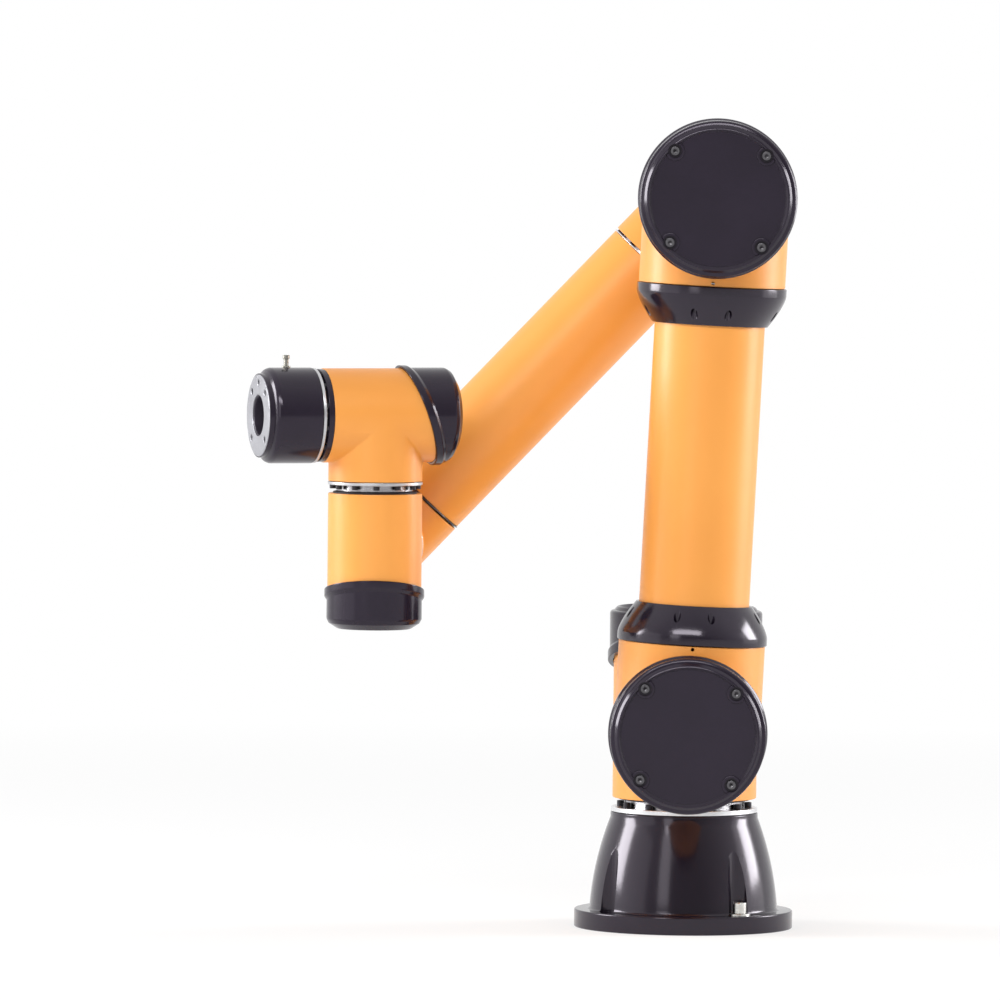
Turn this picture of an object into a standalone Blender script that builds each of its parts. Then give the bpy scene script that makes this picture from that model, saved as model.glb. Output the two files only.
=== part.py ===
"""Six-axis collaborative robot arm on its own base, standing in the pose of the photo.

Metres. Origin at the centre of the base's underside, +Z up, the upper arm's end caps towards -Y.
Each link is an empty on its joint's axis, and the pieces of the link are built in the link's frame.
"""
import math
from types import SimpleNamespace

import bmesh
import bpy
from mathutils import Matrix, Vector

CLEARANCE = 0.0003
WELD = 0.000002
INNER_SIDES = 8
BASE_SIDES = 24

# Two sizes of drive carry all six joints. Lengths run along the drive's own axis from the point where
# it crosses its link: output end at minus, end cap at plus, and the stub to the arm towards +X.
LARGE = SimpleNamespace(
    sides=24,
    housing_r=0.0562,
    wall=0.0060,
    stub_step=-0.0004,
    stub_wall=0.0098,
    output_land=0.0062,
    ring_zone=0.0110,
    ring_over=0.0008,
    ring_disc_thick=0.0035,
    ring_shelf=0.0057,
    ring_hole_r=0.0200,
    cap_dip=0.0115,
    cap_slope=0.30,
    cap_length=0.0425,
    cap_over=0.0031,
    cap_wall=0.0028,
    lip_over=0.0045,
    lip_width=0.0070,
    bevel_width=0.0058,
    bevel_height=0.0100,
    step_width=0.0,
    face_width=0.0017,
    disc_step=0.0014,
    disc_drop=0.0022,
    end_thick=0.0058,
    hub_gap=0.0042,
    hub_wall=0.0056,
    hub_length=0.0160,
    cup_wall=0.0015,
    cup_length=0.0260,
    brim_thick=0.0030,
    cam_length=0.0110,
    shaft_r=0.0160,
    shaft_wall=0.0040,
    stator_thick=0.0163,
    stator_length=0.0300,
    air_gap=0.0008,
    brake_step=0.0140,
    brake_length=0.0087,
    board_thick=0.0040,
)
SMALL = SimpleNamespace(
    sides=20,
    housing_r=0.0359,
    wall=0.0044,
    stub_step=0.0004,
    stub_wall=0.0073,
    output_land=0.0066,
    ring_zone=0.0093,
    ring_over=0.0005,
    ring_disc_thick=0.0025,
    ring_shelf=0.0040,
    ring_hole_r=0.0110,
    cap_dip=0.0051,
    cap_slope=0.352,
    cap_length=0.0301,
    cap_over=0.0007,
    cap_wall=0.0030,
    lip_over=0.0025,
    lip_width=0.0055,
    bevel_width=0.0086,
    bevel_height=0.0076,
    step_width=0.0017,
    step_height=0.0032,
    face_width=0.0,
    end_thick=0.0030,
    hub_gap=0.0027,
    hub_wall=0.0038,
    hub_length=0.0110,
    cup_wall=0.0012,
    cup_length=0.0165,
    brim_thick=0.0020,
    cam_length=0.0070,
    shaft_r=0.0095,
    shaft_wall=0.0025,
    stator_thick=0.0100,
    stator_length=0.0180,
    air_gap=0.0006,
    brake_step=0.0092,
    brake_length=0.0052,
    board_thick=0.0025,
)
HUB_FLOOR = 0.0020
CUP_FLOOR = 0.0010
SHAFT_TAIL = 0.0030
END_GAP = 0.0014
WELL_R = 0.0055
WELL_DEPTH = 0.0055
WELL_INSET = 0.0028

# Base
FLANGE_R = 0.0850
FLANGE_THICK = 0.0140
FLANGE_EDGE = 0.0010
FLANGE_LEDGE = 0.0114
BELL_LIP = 0.0040
BELL_TOP = 0.0900
BELL_TOP_R = 0.0573
BELL_TOP_WALL = 0.0073
BELL_STEPS = 5
ROOF_THICK = 0.0080
ROOF_TAPER = 0.0246
BOLT_EDGE = 0.0110
BOLT_HOLE_R = 0.0045
BOLT_POCKET_R = 0.0090
BOLT_TURN = math.radians(-54.5)
POCKET_WALL = 0.0070
COVER_LEDGE = 0.0040
COVER_THICK = 0.0030
SOCKET_LEVEL = 0.0400
SOCKET_R = 0.0120
SOCKET_WALL = 0.0030
SOCKET_COLLAR_WIDTH = 0.0030
SOCKET_COLLAR_THICK = 0.0035
SOCKET_REACH = 0.0110
SOCKET_TAIL = 0.0040

# Links
SHOULDER_STUB_LAND = 0.0108
UPPER_ARM_LENGTH = 0.4080
UPPER_ARM_STUB_LAND = 0.0108
UPPER_TUBE_R = 0.0422
UPPER_TUBE_WALL = 0.0040
COLLAR_OVER = 0.0015
COLLAR_LENGTH = 0.0300
COLLAR_TIP = 0.0021
COLLAR_STRAIGHT = 0.0060
COLLAR_CURVE = 1.4
COLLAR_STEPS = 4
CHANNEL_R = 0.0027
CHANNEL_INSET = 0.0073
CHANNEL_FLOOR = 0.0100
CHANNEL_SPREAD = math.radians(15.0)
FOREARM_LENGTH = 0.3760
FOREARM_TUBE_R = 0.0358
FOREARM_TUBE_WALL = 0.0035
ELBOW_FRONT_LAND = 0.0117
ELBOW_BACK_LAND = 0.0017
ELBOW_BEVEL = 0.0070
ELBOW_STUB_LAND = 0.0133
ELBOW_RING_ZONE = 0.0042
WRIST_RING_ZONE = 0.0036
FLANGE_RING_DISC = 0.0016
FOREARM_WRIST_LAND = 0.0131
WRIST_STUB_LAND = 0.0144
WRIST_1_SLOPE = 0.230
TOOL_SLEEVE_OVER = 0.00075
TOOL_SLEEVE_LENGTH = 0.0348
TOOL_SLEEVE_BEVEL = 0.0042
TOOL_SLEEVE_FLOOR = 0.0090
TOOL_PLATE_RISE = 0.0028
TOOL_SLEEVE_WALL = 0.00515
TOOL_PLATE_EDGE = 0.0008
TOOL_BORE_R = 0.01575
TOOL_BORE_DEPTH = 0.0140
TOOL_HOLE_EDGE = 0.0065
TOOL_HOLE_R = 0.0027
TOOL_HOLE_DEPTH = 0.0100
CONNECTOR_SETBACK = 0.0220
CONNECTOR_R = 0.0019
CONNECTOR_HEAD_WIDTH = 0.0007
CONNECTOR_HEAD_LENGTH = 0.0030
CONNECTOR_WALL = 0.0009
CONNECTOR_FOOT_WIDTH = 0.0014
CONNECTOR_FOOT_THICK = 0.0012
CONNECTOR_HEIGHT = 0.0095
CONNECTOR_MOUTH = 0.0024

# Turn of each link from the one before it in the photo's pose
UPPER_ARM_TURN = math.radians(2.60)
FOREARM_TURN = math.radians(221.00)
WRIST_1_TURN = math.radians(-223.60)
WRIST_2_TURN = math.radians(17.7)

UP = (0.0, 0.0, 1.0)
DOWN = (0.0, 0.0, -1.0)
FRONT = (0.0, -1.0, 0.0)
BACK = (0.0, 1.0, 0.0)
RIGHT = (1.0, 0.0, 0.0)
CENTRE = (0.0, 0.0, 0.0)


def derive(size):
    """Radii and levels of a drive that follow from its own sizes."""
    size.bore_r = size.housing_r - size.wall
    size.seat_r = size.bore_r - CLEARANCE
    size.stub_r = size.housing_r + size.stub_step
    size.stub_bore_r = size.stub_r - size.stub_wall
    size.output_reach = size.stub_r + size.output_land
    size.ring_r = size.housing_r + size.ring_over
    size.neck_r = size.ring_r - size.ring_shelf
    size.cap_edge = size.stub_r - size.cap_dip
    size.cap_end = size.cap_edge + size.cap_length
    size.cap_r = size.housing_r + size.cap_over
    size.lip_r = size.housing_r + size.lip_over
    size.face_r = size.cap_r - size.bevel_width
    size.hub_r = size.bore_r - size.hub_gap
    size.tooth_r = size.hub_r - size.hub_wall
    size.stator_bore_r = size.seat_r - size.stator_thick


def clear_r(radius, sides):
    """Corner radius of a hole whose flat sides keep the given radius free."""
    return radius / math.cos(math.pi / sides)


def aim(origin, x_dir, z_dir):
    """Placement whose local X and Z lie along the given directions."""
    x_axis = Vector(x_dir)
    z_axis = Vector(z_dir)
    rows = Matrix((x_axis, z_axis.cross(x_axis), z_axis)).transposed()
    return Matrix.Translation(origin) @ rows.to_4x4()


def around(radius, angle):
    """Placement at an angle on a circle about Z."""
    return Matrix.Translation((radius * math.cos(angle), radius * math.sin(angle), 0.0))


def moved(mesh, placement):
    mesh.transform(placement)
    return mesh


def turned(profile, sides, solid=False):
    """Mesh turned about Z from an outline of (radius, height) or (radius, height, slope) points.

    A slope makes the height rise with X. The outline is closed on itself into a ring, or with solid
    set, its first and last points are closed by flat faces across the axis.
    """
    bm = bmesh.new()
    rings = []
    for radius, height, *slope in profile:
        rise = slope[0] if slope else 0.0
        ring = []
        for step in range(sides):
            angle = 2.0 * math.pi * step / sides
            x = radius * math.cos(angle)
            ring.append(bm.verts.new((x, radius * math.sin(angle), height + rise * x)))
        rings.append(ring)
    pairs = list(zip(rings, rings[1:]))
    if solid:
        bm.faces.new(rings[0])
        bm.faces.new(rings[-1])
    else:
        pairs.append((rings[-1], rings[0]))
    for low, high in pairs:
        for step in range(sides):
            after = (step + 1) % sides
            bm.faces.new((low[step], low[after], high[after], high[step]))
    bmesh.ops.recalc_face_normals(bm, faces=bm.faces[:])
    mesh = bpy.data.meshes.new("turned")
    bm.to_mesh(mesh)
    bm.free()
    return mesh


def rod(radius, low, high, sides, slope=0.0):
    return turned([(radius, low), (radius, high, slope)], sides, solid=True)


def combine(mesh, tools, operation):
    """Mesh joined with the tool meshes, or cut by them, one after the other."""
    body = bpy.data.objects.new("body", mesh)
    bpy.context.collection.objects.link(body)
    for tool_mesh in tools:
        tool = bpy.data.objects.new("tool", tool_mesh)
        bpy.context.collection.objects.link(tool)
        step = body.modifiers.new("step", "BOOLEAN")
        step.solver = "EXACT"
        step.operation = operation
        step.object = tool
        evaluated = body.evaluated_get(bpy.context.evaluated_depsgraph_get())
        result = bpy.data.meshes.new_from_object(evaluated)
        body.modifiers.clear()
        body.data = result
        bpy.data.objects.remove(tool)
    result = body.data
    bpy.data.objects.remove(body)
    bm = bmesh.new()
    bm.from_mesh(result)
    bmesh.ops.remove_doubles(bm, verts=bm.verts[:], dist=WELD)
    bmesh.ops.dissolve_degenerate(bm, edges=bm.edges[:], dist=WELD)
    bm.to_mesh(result)
    bm.free()
    return result


def material(name, colour, roughness, metallic):
    made = bpy.data.materials.new(name)
    made.use_nodes = True
    shader = made.node_tree.nodes["Principled BSDF"]
    shader.inputs["Base Color"].default_value = (*colour, 1.0)
    shader.inputs["Roughness"].default_value = roughness
    shader.inputs["Metallic"].default_value = metallic
    return made


def add(name, mesh, look, link, placement=None):
    """Named piece of a link, smooth on its round faces."""
    mesh.name = name
    mesh.materials.clear()
    mesh.materials.append(look)
    mesh.shade_smooth()
    mesh.set_sharp_from_angle(angle=math.radians(35.0))
    piece = bpy.data.objects.new(name, mesh)
    bpy.context.collection.objects.link(piece)
    piece.parent = link
    piece.matrix_basis = placement if placement is not None else Matrix.Identity(4)


def add_link(name, parent, placement):
    link = bpy.data.objects.new(name, None)
    bpy.context.collection.objects.link(link)
    link.parent = parent
    link.matrix_basis = placement
    return link


def tee_housing(size, stub_length, slope):
    """Cast housing: the drive's barrel with an oblique end under the cap, and the stub to the arm."""
    top = size.cap_edge + size.lip_width - END_GAP
    beyond = 2.0 * size.cap_end
    stub_way = aim(CENTRE, DOWN, RIGHT) @ Matrix.Rotation(math.pi / size.sides, 4, "Z")
    barrel = rod(size.housing_r, -size.output_reach, top, size.sides, slope)
    stub = moved(rod(size.stub_r, 0.0, stub_length, size.sides), stub_way)
    bore = rod(clear_r(size.bore_r, size.sides), -beyond, beyond, size.sides)
    stub_bore = moved(rod(size.stub_bore_r, 0.0, beyond, size.sides), stub_way)
    shell = combine(barrel, [stub], "UNION")
    return combine(shell, [bore, stub_bore], "DIFFERENCE")


def end_cap(size, slope):
    """Hollow end cap: oblique lip over the housing's end and a bevelled rim round the end face.

    The end face of a large cap drops to a disc inside a narrow rim, with four screw wells in the rim.
    """
    edge = size.cap_edge
    lip_top = edge + size.lip_width
    skirt_r = clear_r(size.housing_r + CLEARANCE, size.sides)
    inside_r = min(size.cap_r - size.cap_wall, skirt_r)
    floor = size.cap_end
    outline = []
    if size.face_width > 0.0:
        rim_r = size.face_r - size.face_width
        floor -= size.disc_drop
        outline = [(rim_r - size.disc_step, floor), (rim_r, size.cap_end)]
    outline.append((size.face_r, size.cap_end))
    bevel_foot = size.cap_end - size.bevel_height
    if size.step_width > 0.0:
        outline.append((size.cap_r - size.step_width, bevel_foot + size.step_height))
    outline += [
        (size.cap_r, bevel_foot),
        (size.cap_r, lip_top + size.lip_r - size.cap_r, slope),
        (size.lip_r, lip_top, slope),
        (size.lip_r, edge, slope),
        (skirt_r, edge, slope),
    ]
    if inside_r < skirt_r - CLEARANCE:
        outline += [(skirt_r, lip_top, slope), (inside_r, lip_top, slope)]
    ceiling = floor - size.end_thick
    inner_bevel = inside_r - size.face_r + size.cap_wall
    outline += [(inside_r, ceiling - inner_bevel), (inside_r - inner_bevel, ceiling)]
    cap = turned(outline, size.sides, solid=True)
    if size.face_width == 0.0:
        return cap
    wells = []
    for quarter in range(4):
        well = rod(WELL_R, size.cap_end - WELL_DEPTH, size.cap_end + WELL_DEPTH, 8)
        place = around(rim_r - WELL_INSET, math.radians(45.0 + 90.0 * quarter))
        wells.append(moved(well, place))
    return combine(cap, wells, "DIFFERENCE")


def output_ring(size):
    """Output ring seen in the gap of a joint: disc, screw neck, and the toothed hub inside the bore."""
    end = -size.output_reach - CLEARANCE
    foot = -size.output_reach - size.ring_zone + CLEARANCE
    shelf = foot + size.ring_disc_thick
    hub_end = -size.output_reach + size.hub_length
    tooth_r = clear_r(size.tooth_r, size.sides)
    tooth_foot = -size.output_reach + HUB_FLOOR
    return turned([
        (size.ring_r, foot), (size.ring_r, shelf), (size.neck_r, shelf), (size.neck_r, end),
        (size.hub_r, end), (size.hub_r, hub_end), (tooth_r, hub_end), (tooth_r, tooth_foot),
        (size.ring_hole_r, tooth_foot), (size.ring_hole_r, foot),
    ], size.sides)


def add_drive(joint, size, link, placement):
    """Inner drive of a joint: stator, rotor with its cam, flexspline, and the board with the brake."""
    half = 0.5 * size.stator_length
    gap_r = clear_r(size.stator_bore_r, INNER_SIDES)
    stator = turned([
        (size.seat_r, -half), (size.seat_r, half), (gap_r, half), (gap_r, -half),
    ], INNER_SIDES)
    add(joint + "_stator", stator, COPPER, link, placement)

    cup_r = size.tooth_r - 2.0 * CLEARANCE
    cup_in_r = cup_r - size.cup_wall
    cup_low = -size.output_reach + HUB_FLOOR + CUP_FLOOR
    brim_top = cup_low + size.cup_length
    brim_low = brim_top - size.brim_thick
    flexspline = turned([
        (cup_r, cup_low), (cup_r, brim_low), (size.seat_r, brim_low), (size.seat_r, brim_top),
        (cup_in_r, brim_top), (cup_in_r, cup_low),
    ], INNER_SIDES)
    add(joint + "_flexspline", flexspline, STEEL, link, placement)

    board_low = half + CLEARANCE + size.brake_length
    board_top = board_low + size.board_thick
    cam_r = cup_in_r * math.cos(math.pi / INNER_SIDES) - 2.0 * CLEARANCE
    cam_low = cup_low + CUP_FLOOR
    cam_top = cam_low + size.cam_length
    rotor_r = size.stator_bore_r - size.air_gap
    magnet = half - 2.0 * size.air_gap
    shaft_bore_r = size.shaft_r - size.shaft_wall
    rotor = turned([
        (cam_r, cam_low), (cam_r, cam_top), (size.shaft_r, cam_top), (size.shaft_r, -magnet),
        (rotor_r, -magnet), (rotor_r, magnet), (size.shaft_r, magnet),
        (size.shaft_r, board_top + SHAFT_TAIL), (shaft_bore_r, board_top + SHAFT_TAIL),
        (shaft_bore_r, cam_low),
    ], INNER_SIDES)
    half_step = Matrix.Rotation(math.pi / INNER_SIDES, 4, "Z")
    add(joint + "_rotor", moved(rotor, half_step), STEEL, link, placement)

    hole_r = clear_r(size.shaft_r + CLEARANCE, INNER_SIDES)
    brake_r = size.seat_r - size.brake_step
    board = turned([
        (brake_r, half + CLEARANCE), (brake_r, board_low), (size.seat_r, board_low),
        (size.seat_r, board_top), (hole_r, board_top), (hole_r, half + CLEARANCE),
    ], INNER_SIDES)
    add(joint + "_drive_board", board, BOARD, link, placement)


def base_casting(wall_r, cover_r, seat):
    """Bell casting with the bolt flange, cut by the bolt pockets, bolt holes and the cable socket."""
    root_r = FLANGE_R - FLANGE_LEDGE
    curve_top = BELL_TOP - BELL_LIP
    outline = [(FLANGE_R - FLANGE_EDGE, 0.0), (FLANGE_R, FLANGE_EDGE)]
    outline += [(FLANGE_R, FLANGE_THICK - FLANGE_EDGE), (FLANGE_R - FLANGE_EDGE, FLANGE_THICK)]
    for step in range(BELL_STEPS + 1):
        height = FLANGE_THICK + (curve_top - FLANGE_THICK) * step / BELL_STEPS
        outline.append((root_r - (root_r - BELL_TOP_R) * (height / curve_top) ** 2, height))
    roof = BELL_TOP - ROOF_THICK
    seat_r = clear_r(cover_r + CLEARANCE, BASE_SIDES)
    ledge = COVER_THICK + CLEARANCE
    outline += [(BELL_TOP_R, BELL_TOP), (LARGE.ring_hole_r, BELL_TOP), (LARGE.ring_hole_r, roof),
                (BELL_TOP_R - BELL_TOP_WALL, roof), (wall_r, roof - ROOF_TAPER), (wall_r, ledge),
                (seat_r, ledge), (seat_r, 0.0)]
    casting = turned(outline, BASE_SIDES)
    cutters = []
    for quarter in range(4):
        place = around(FLANGE_R - BOLT_EDGE, BOLT_TURN + 0.5 * math.pi * quarter)
        cutters.append(moved(rod(BOLT_POCKET_R, FLANGE_THICK, BELL_TOP, 10), place))
        cutters.append(moved(rod(BOLT_HOLE_R, -FLANGE_THICK, 2.0 * FLANGE_THICK, 8), place))
    rear = aim((0.0, 0.0, SOCKET_LEVEL), RIGHT, BACK)
    collar_r = SOCKET_R + SOCKET_COLLAR_WIDTH
    for hole_r, low in ((SOCKET_R, wall_r - 2.0 * SOCKET_TAIL), (collar_r, seat)):
        cutters.append(moved(rod(clear_r(hole_r + CLEARANCE, 16), low, 2.0 * FLANGE_R, 16), rear))
    return combine(casting, cutters, "DIFFERENCE")


def cable_socket(wall_r, seat):
    """Round cable socket in the bell's rear wall: barrel, collar outside, and a blind mouth."""
    low = seat + CLEARANCE
    high = low + SOCKET_COLLAR_THICK
    collar_r = SOCKET_R + SOCKET_COLLAR_WIDTH
    mouth_r = SOCKET_R - SOCKET_WALL
    return turned([
        (SOCKET_R, wall_r - SOCKET_TAIL), (SOCKET_R, low), (collar_r, low), (collar_r, high),
        (SOCKET_R, high), (SOCKET_R, high + SOCKET_REACH), (mouth_r, high + SOCKET_REACH),
        (mouth_r, low),
    ], 16, solid=True)


def collar():
    """Ogive collar round a tube end, standing on a housing's stub, with eight screw channels."""
    foot_r = LARGE.stub_r + COLLAR_OVER
    tip_r = UPPER_TUBE_R + COLLAR_TIP
    outline = [(foot_r, CLEARANCE)]
    for step in range(COLLAR_STEPS + 1):
        share = step / COLLAR_STEPS
        height = COLLAR_STRAIGHT + (COLLAR_LENGTH - COLLAR_STRAIGHT) * share
        outline.append((foot_r - (foot_r - tip_r) * share ** COLLAR_CURVE, height))
    tube_r = clear_r(UPPER_TUBE_R + CLEARANCE, LARGE.sides)
    outline += [(tube_r, COLLAR_LENGTH), (tube_r, CLEARANCE)]
    cutters = []
    for quarter in range(4):
        for side in (-1.0, 1.0):
            place = around(foot_r - CHANNEL_INSET, 0.5 * math.pi * quarter + side * CHANNEL_SPREAD)
            cutters.append(moved(rod(CHANNEL_R, CHANNEL_FLOOR, 2.0 * COLLAR_LENGTH, 6), place))
    return combine(turned(outline, LARGE.sides), cutters, "DIFFERENCE")


def tube(radius, wall, low, high, sides):
    return turned([
        (radius, low), (radius, high), (radius - wall, high), (radius - wall, low),
    ], sides)


def elbow_casting(front, back, stub_length):
    """Closed elbow drum with a bevelled back and the stub that carries the forearm tube."""
    stub_way = aim(CENTRE, DOWN, RIGHT)
    drum = turned([
        (LARGE.housing_r - ELBOW_BEVEL, -back), (LARGE.housing_r, -back + ELBOW_BEVEL),
        (LARGE.housing_r, front),
    ], LARGE.sides, solid=True)
    stub = moved(rod(SMALL.stub_r, 0.0, stub_length, SMALL.sides), stub_way)
    bore = rod(LARGE.stub_bore_r, ELBOW_BEVEL - back, 2.0 * front, LARGE.sides)
    stub_bore = moved(rod(SMALL.stub_bore_r, 0.0, 2.0 * stub_length, SMALL.sides), stub_way)
    shell = combine(drum, [stub], "UNION")
    return combine(shell, [bore, stub_bore], "DIFFERENCE")


def flange_ring(zone):
    """Bolted ring between a stub (below) and the forearm tube (above): screw neck and bright disc."""
    high = zone - CLEARANCE
    shelf = high - FLANGE_RING_DISC
    disc_r = max(SMALL.ring_r, FOREARM_TUBE_R)
    bore_r = min(SMALL.stub_bore_r, FOREARM_TUBE_R - FOREARM_TUBE_WALL)
    return turned([
        (SMALL.neck_r, CLEARANCE), (SMALL.neck_r, shelf), (disc_r, shelf), (disc_r, high),
        (bore_r, high), (bore_r, CLEARANCE),
    ], SMALL.sides)


def tool_sleeve(back, sleeve_r, plate_r):
    """Black sleeve of the tool flange, with a closed back and a bevelled front rim."""
    shoulder_end = back - TOOL_SLEEVE_LENGTH
    front = shoulder_end - TOOL_SLEEVE_BEVEL
    floor = back - TOOL_SLEEVE_FLOOR
    seat_r = clear_r(plate_r + CLEARANCE, SMALL.sides)
    return turned([
        (seat_r + CLEARANCE, front), (sleeve_r, shoulder_end), (sleeve_r, back),
        (SMALL.ring_hole_r, back), (SMALL.ring_hole_r, floor), (seat_r, floor), (seat_r, front),
    ], SMALL.sides)


def tool_plate(back, face, plate_r):
    """Tool plate: spigot in the sleeve, centring bore, four tapped holes and a dowel hole."""
    bore_r = clear_r(TOOL_BORE_R, SMALL.sides)
    bore_floor = face + TOOL_BORE_DEPTH
    plate = turned([
        (bore_r, face), (plate_r - TOOL_PLATE_EDGE, face), (plate_r, face + TOOL_PLATE_EDGE),
        (plate_r, back), (SMALL.ring_hole_r, back), (SMALL.ring_hole_r, bore_floor),
        (bore_r, bore_floor),
    ], SMALL.sides)
    holes = []
    for degrees in (45.0, 135.0, 225.0, 315.0, 180.0):
        hole = rod(TOOL_HOLE_R, face - TOOL_HOLE_DEPTH, face + TOOL_HOLE_DEPTH, 8)
        holes.append(moved(hole, around(plate_r - TOOL_HOLE_EDGE, math.radians(degrees))))
    return combine(plate, holes, "DIFFERENCE")


def tool_connector(sleeve_r):
    """Small metal connector: foot on the sleeve, and a stem with a wider open head."""
    foot = sleeve_r + CLEARANCE
    step = foot + CONNECTOR_FOOT_THICK
    top = sleeve_r + CONNECTOR_HEIGHT
    foot_r = CONNECTOR_R + CONNECTOR_FOOT_WIDTH
    head_r = CONNECTOR_R + CONNECTOR_HEAD_WIDTH
    head = top - CONNECTOR_HEAD_LENGTH
    mouth_r = head_r - CONNECTOR_WALL
    return turned([
        (foot_r, foot), (foot_r, step), (CONNECTOR_R, step), (CONNECTOR_R, head), (head_r, head),
        (head_r, top), (mouth_r, top), (mouth_r, top - CONNECTOR_MOUTH),
    ], 10, solid=True)


for old in list(bpy.data.objects):
    bpy.data.objects.remove(old)
derive(LARGE)
derive(SMALL)

PAINT = material("orange_paint", (0.860, 0.330, 0.055), 0.35, 0.0)
BLACK = material("gloss_black", (0.030, 0.027, 0.034), 0.25, 0.0)
SILVER = material("machined_aluminium", (0.72, 0.72, 0.74), 0.35, 1.0)
STEEL = material("steel", (0.45, 0.45, 0.47), 0.35, 1.0)
COPPER = material("winding_copper", (0.55, 0.22, 0.10), 0.45, 1.0)
BOARD = material("board_green", (0.03, 0.16, 0.07), 0.55, 0.0)

# Base, with the ring that joint 1 turns on
base = add_link("base", None, Matrix.Identity(4))
shoulder_level = BELL_TOP + LARGE.ring_zone + LARGE.output_reach
base_wall_r = FLANGE_R - BOLT_EDGE - BOLT_POCKET_R - POCKET_WALL
cover_r = base_wall_r + COVER_LEDGE
socket_seat = base_wall_r + POCKET_WALL
add("base_housing", base_casting(base_wall_r, cover_r, socket_seat), BLACK, base)
add("base_bottom_cover", rod(cover_r, 0.0, COVER_THICK, BASE_SIDES), STEEL, base)
add("base_cable_socket", cable_socket(base_wall_r, socket_seat), STEEL, base,
    aim((0.0, 0.0, SOCKET_LEVEL), RIGHT, BACK))
add("j1_output_ring", output_ring(LARGE), SILVER, base, Matrix.Translation((0.0, 0.0, shoulder_level)))

# Shoulder: drive 1 stands upright, its stub faces the upper arm and carries the ring of joint 2
shoulder = add_link("shoulder", base, Matrix.Translation((0.0, 0.0, shoulder_level)))
shoulder_stub = LARGE.housing_r + SHOULDER_STUB_LAND
arm_plane = shoulder_stub + LARGE.ring_zone + LARGE.output_reach
drive_1 = aim(CENTRE, FRONT, UP)
large_cap = end_cap(LARGE, LARGE.cap_slope)
add("shoulder_housing", tee_housing(LARGE, shoulder_stub, LARGE.cap_slope), PAINT, shoulder, drive_1)
add("shoulder_cap", large_cap.copy(), BLACK, shoulder, drive_1)
add("j2_output_ring", output_ring(LARGE), SILVER, shoulder, aim((0.0, -arm_plane, 0.0), UP, FRONT))
add_drive("j1", LARGE, shoulder, drive_1)

# Upper arm: drives 2 and 3 face the front, joined by the tube and its two collars
upper_arm = add_link("upper_arm", shoulder, Matrix.Translation((0.0, -arm_plane, 0.0))
                     @ Matrix.Rotation(UPPER_ARM_TURN, 4, "Y"))
arm_stub = LARGE.housing_r + UPPER_ARM_STUB_LAND
arm_top = UPPER_ARM_LENGTH - arm_stub
drive_2 = aim(CENTRE, UP, FRONT)
drive_3 = aim((0.0, 0.0, UPPER_ARM_LENGTH), DOWN, FRONT)
arm_housing = tee_housing(LARGE, arm_stub, LARGE.cap_slope)
arm_tube = tube(UPPER_TUBE_R, UPPER_TUBE_WALL, arm_stub + CLEARANCE, arm_top - CLEARANCE, LARGE.sides)
add("j2_housing", arm_housing.copy(), PAINT, upper_arm, drive_2)
add("j2_cap", large_cap.copy(), BLACK, upper_arm, drive_2)
add("lower_collar", collar(), BLACK, upper_arm, Matrix.Translation((0.0, 0.0, arm_stub)))
add("upper_arm_tube", arm_tube, PAINT, upper_arm)
add("upper_collar", collar(), BLACK, upper_arm, aim((0.0, 0.0, arm_top), RIGHT, DOWN))
add("j3_housing", arm_housing.copy(), PAINT, upper_arm, drive_3)
add("j3_cap", large_cap.copy(), BLACK, upper_arm, drive_3)
add_drive("j2", LARGE, upper_arm, drive_2)
add_drive("j3", LARGE, upper_arm, drive_3)

# Forearm: hangs behind the upper arm on joint 3 and carries drive 4 with its cap to the back
elbow_front = SMALL.stub_r + ELBOW_FRONT_LAND
elbow_back = SMALL.stub_r + ELBOW_BACK_LAND
elbow_step = LARGE.output_reach + LARGE.ring_zone + elbow_front
elbow_stub = LARGE.housing_r + ELBOW_STUB_LAND
forearm = add_link("forearm", upper_arm, Matrix.Translation((0.0, elbow_step, UPPER_ARM_LENGTH))
                   @ Matrix.Rotation(FOREARM_TURN, 4, "Y"))
forearm_wrist_stub = SMALL.housing_r + FOREARM_WRIST_LAND
tube_low = elbow_stub + ELBOW_RING_ZONE
wrist_ring_top = FOREARM_LENGTH - forearm_wrist_stub
tube_high = wrist_ring_top - WRIST_RING_ZONE
drive_4 = aim((0.0, 0.0, FOREARM_LENGTH), DOWN, BACK)
add("j3_output_ring", output_ring(LARGE), SILVER, forearm, aim((0.0, -elbow_step, 0.0), UP, FRONT))
add("forearm_elbow_housing", elbow_casting(elbow_front, elbow_back, elbow_stub), PAINT, forearm,
    aim(CENTRE, UP, FRONT))
add("forearm_elbow_ring", flange_ring(ELBOW_RING_ZONE), SILVER, forearm,
    Matrix.Translation((0.0, 0.0, elbow_stub)))
add("forearm_tube", tube(FOREARM_TUBE_R, FOREARM_TUBE_WALL, tube_low, tube_high, SMALL.sides), PAINT,
    forearm)
add("forearm_wrist_ring", flange_ring(WRIST_RING_ZONE), SILVER, forearm,
    aim((0.0, 0.0, wrist_ring_top), RIGHT, DOWN))
add("forearm_wrist_housing", tee_housing(SMALL, forearm_wrist_stub, SMALL.cap_slope), PAINT, forearm,
    drive_4)
add("forearm_wrist_cap", end_cap(SMALL, SMALL.cap_slope), BLACK, forearm, drive_4)
add_drive("j4", SMALL, forearm, drive_4)

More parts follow.
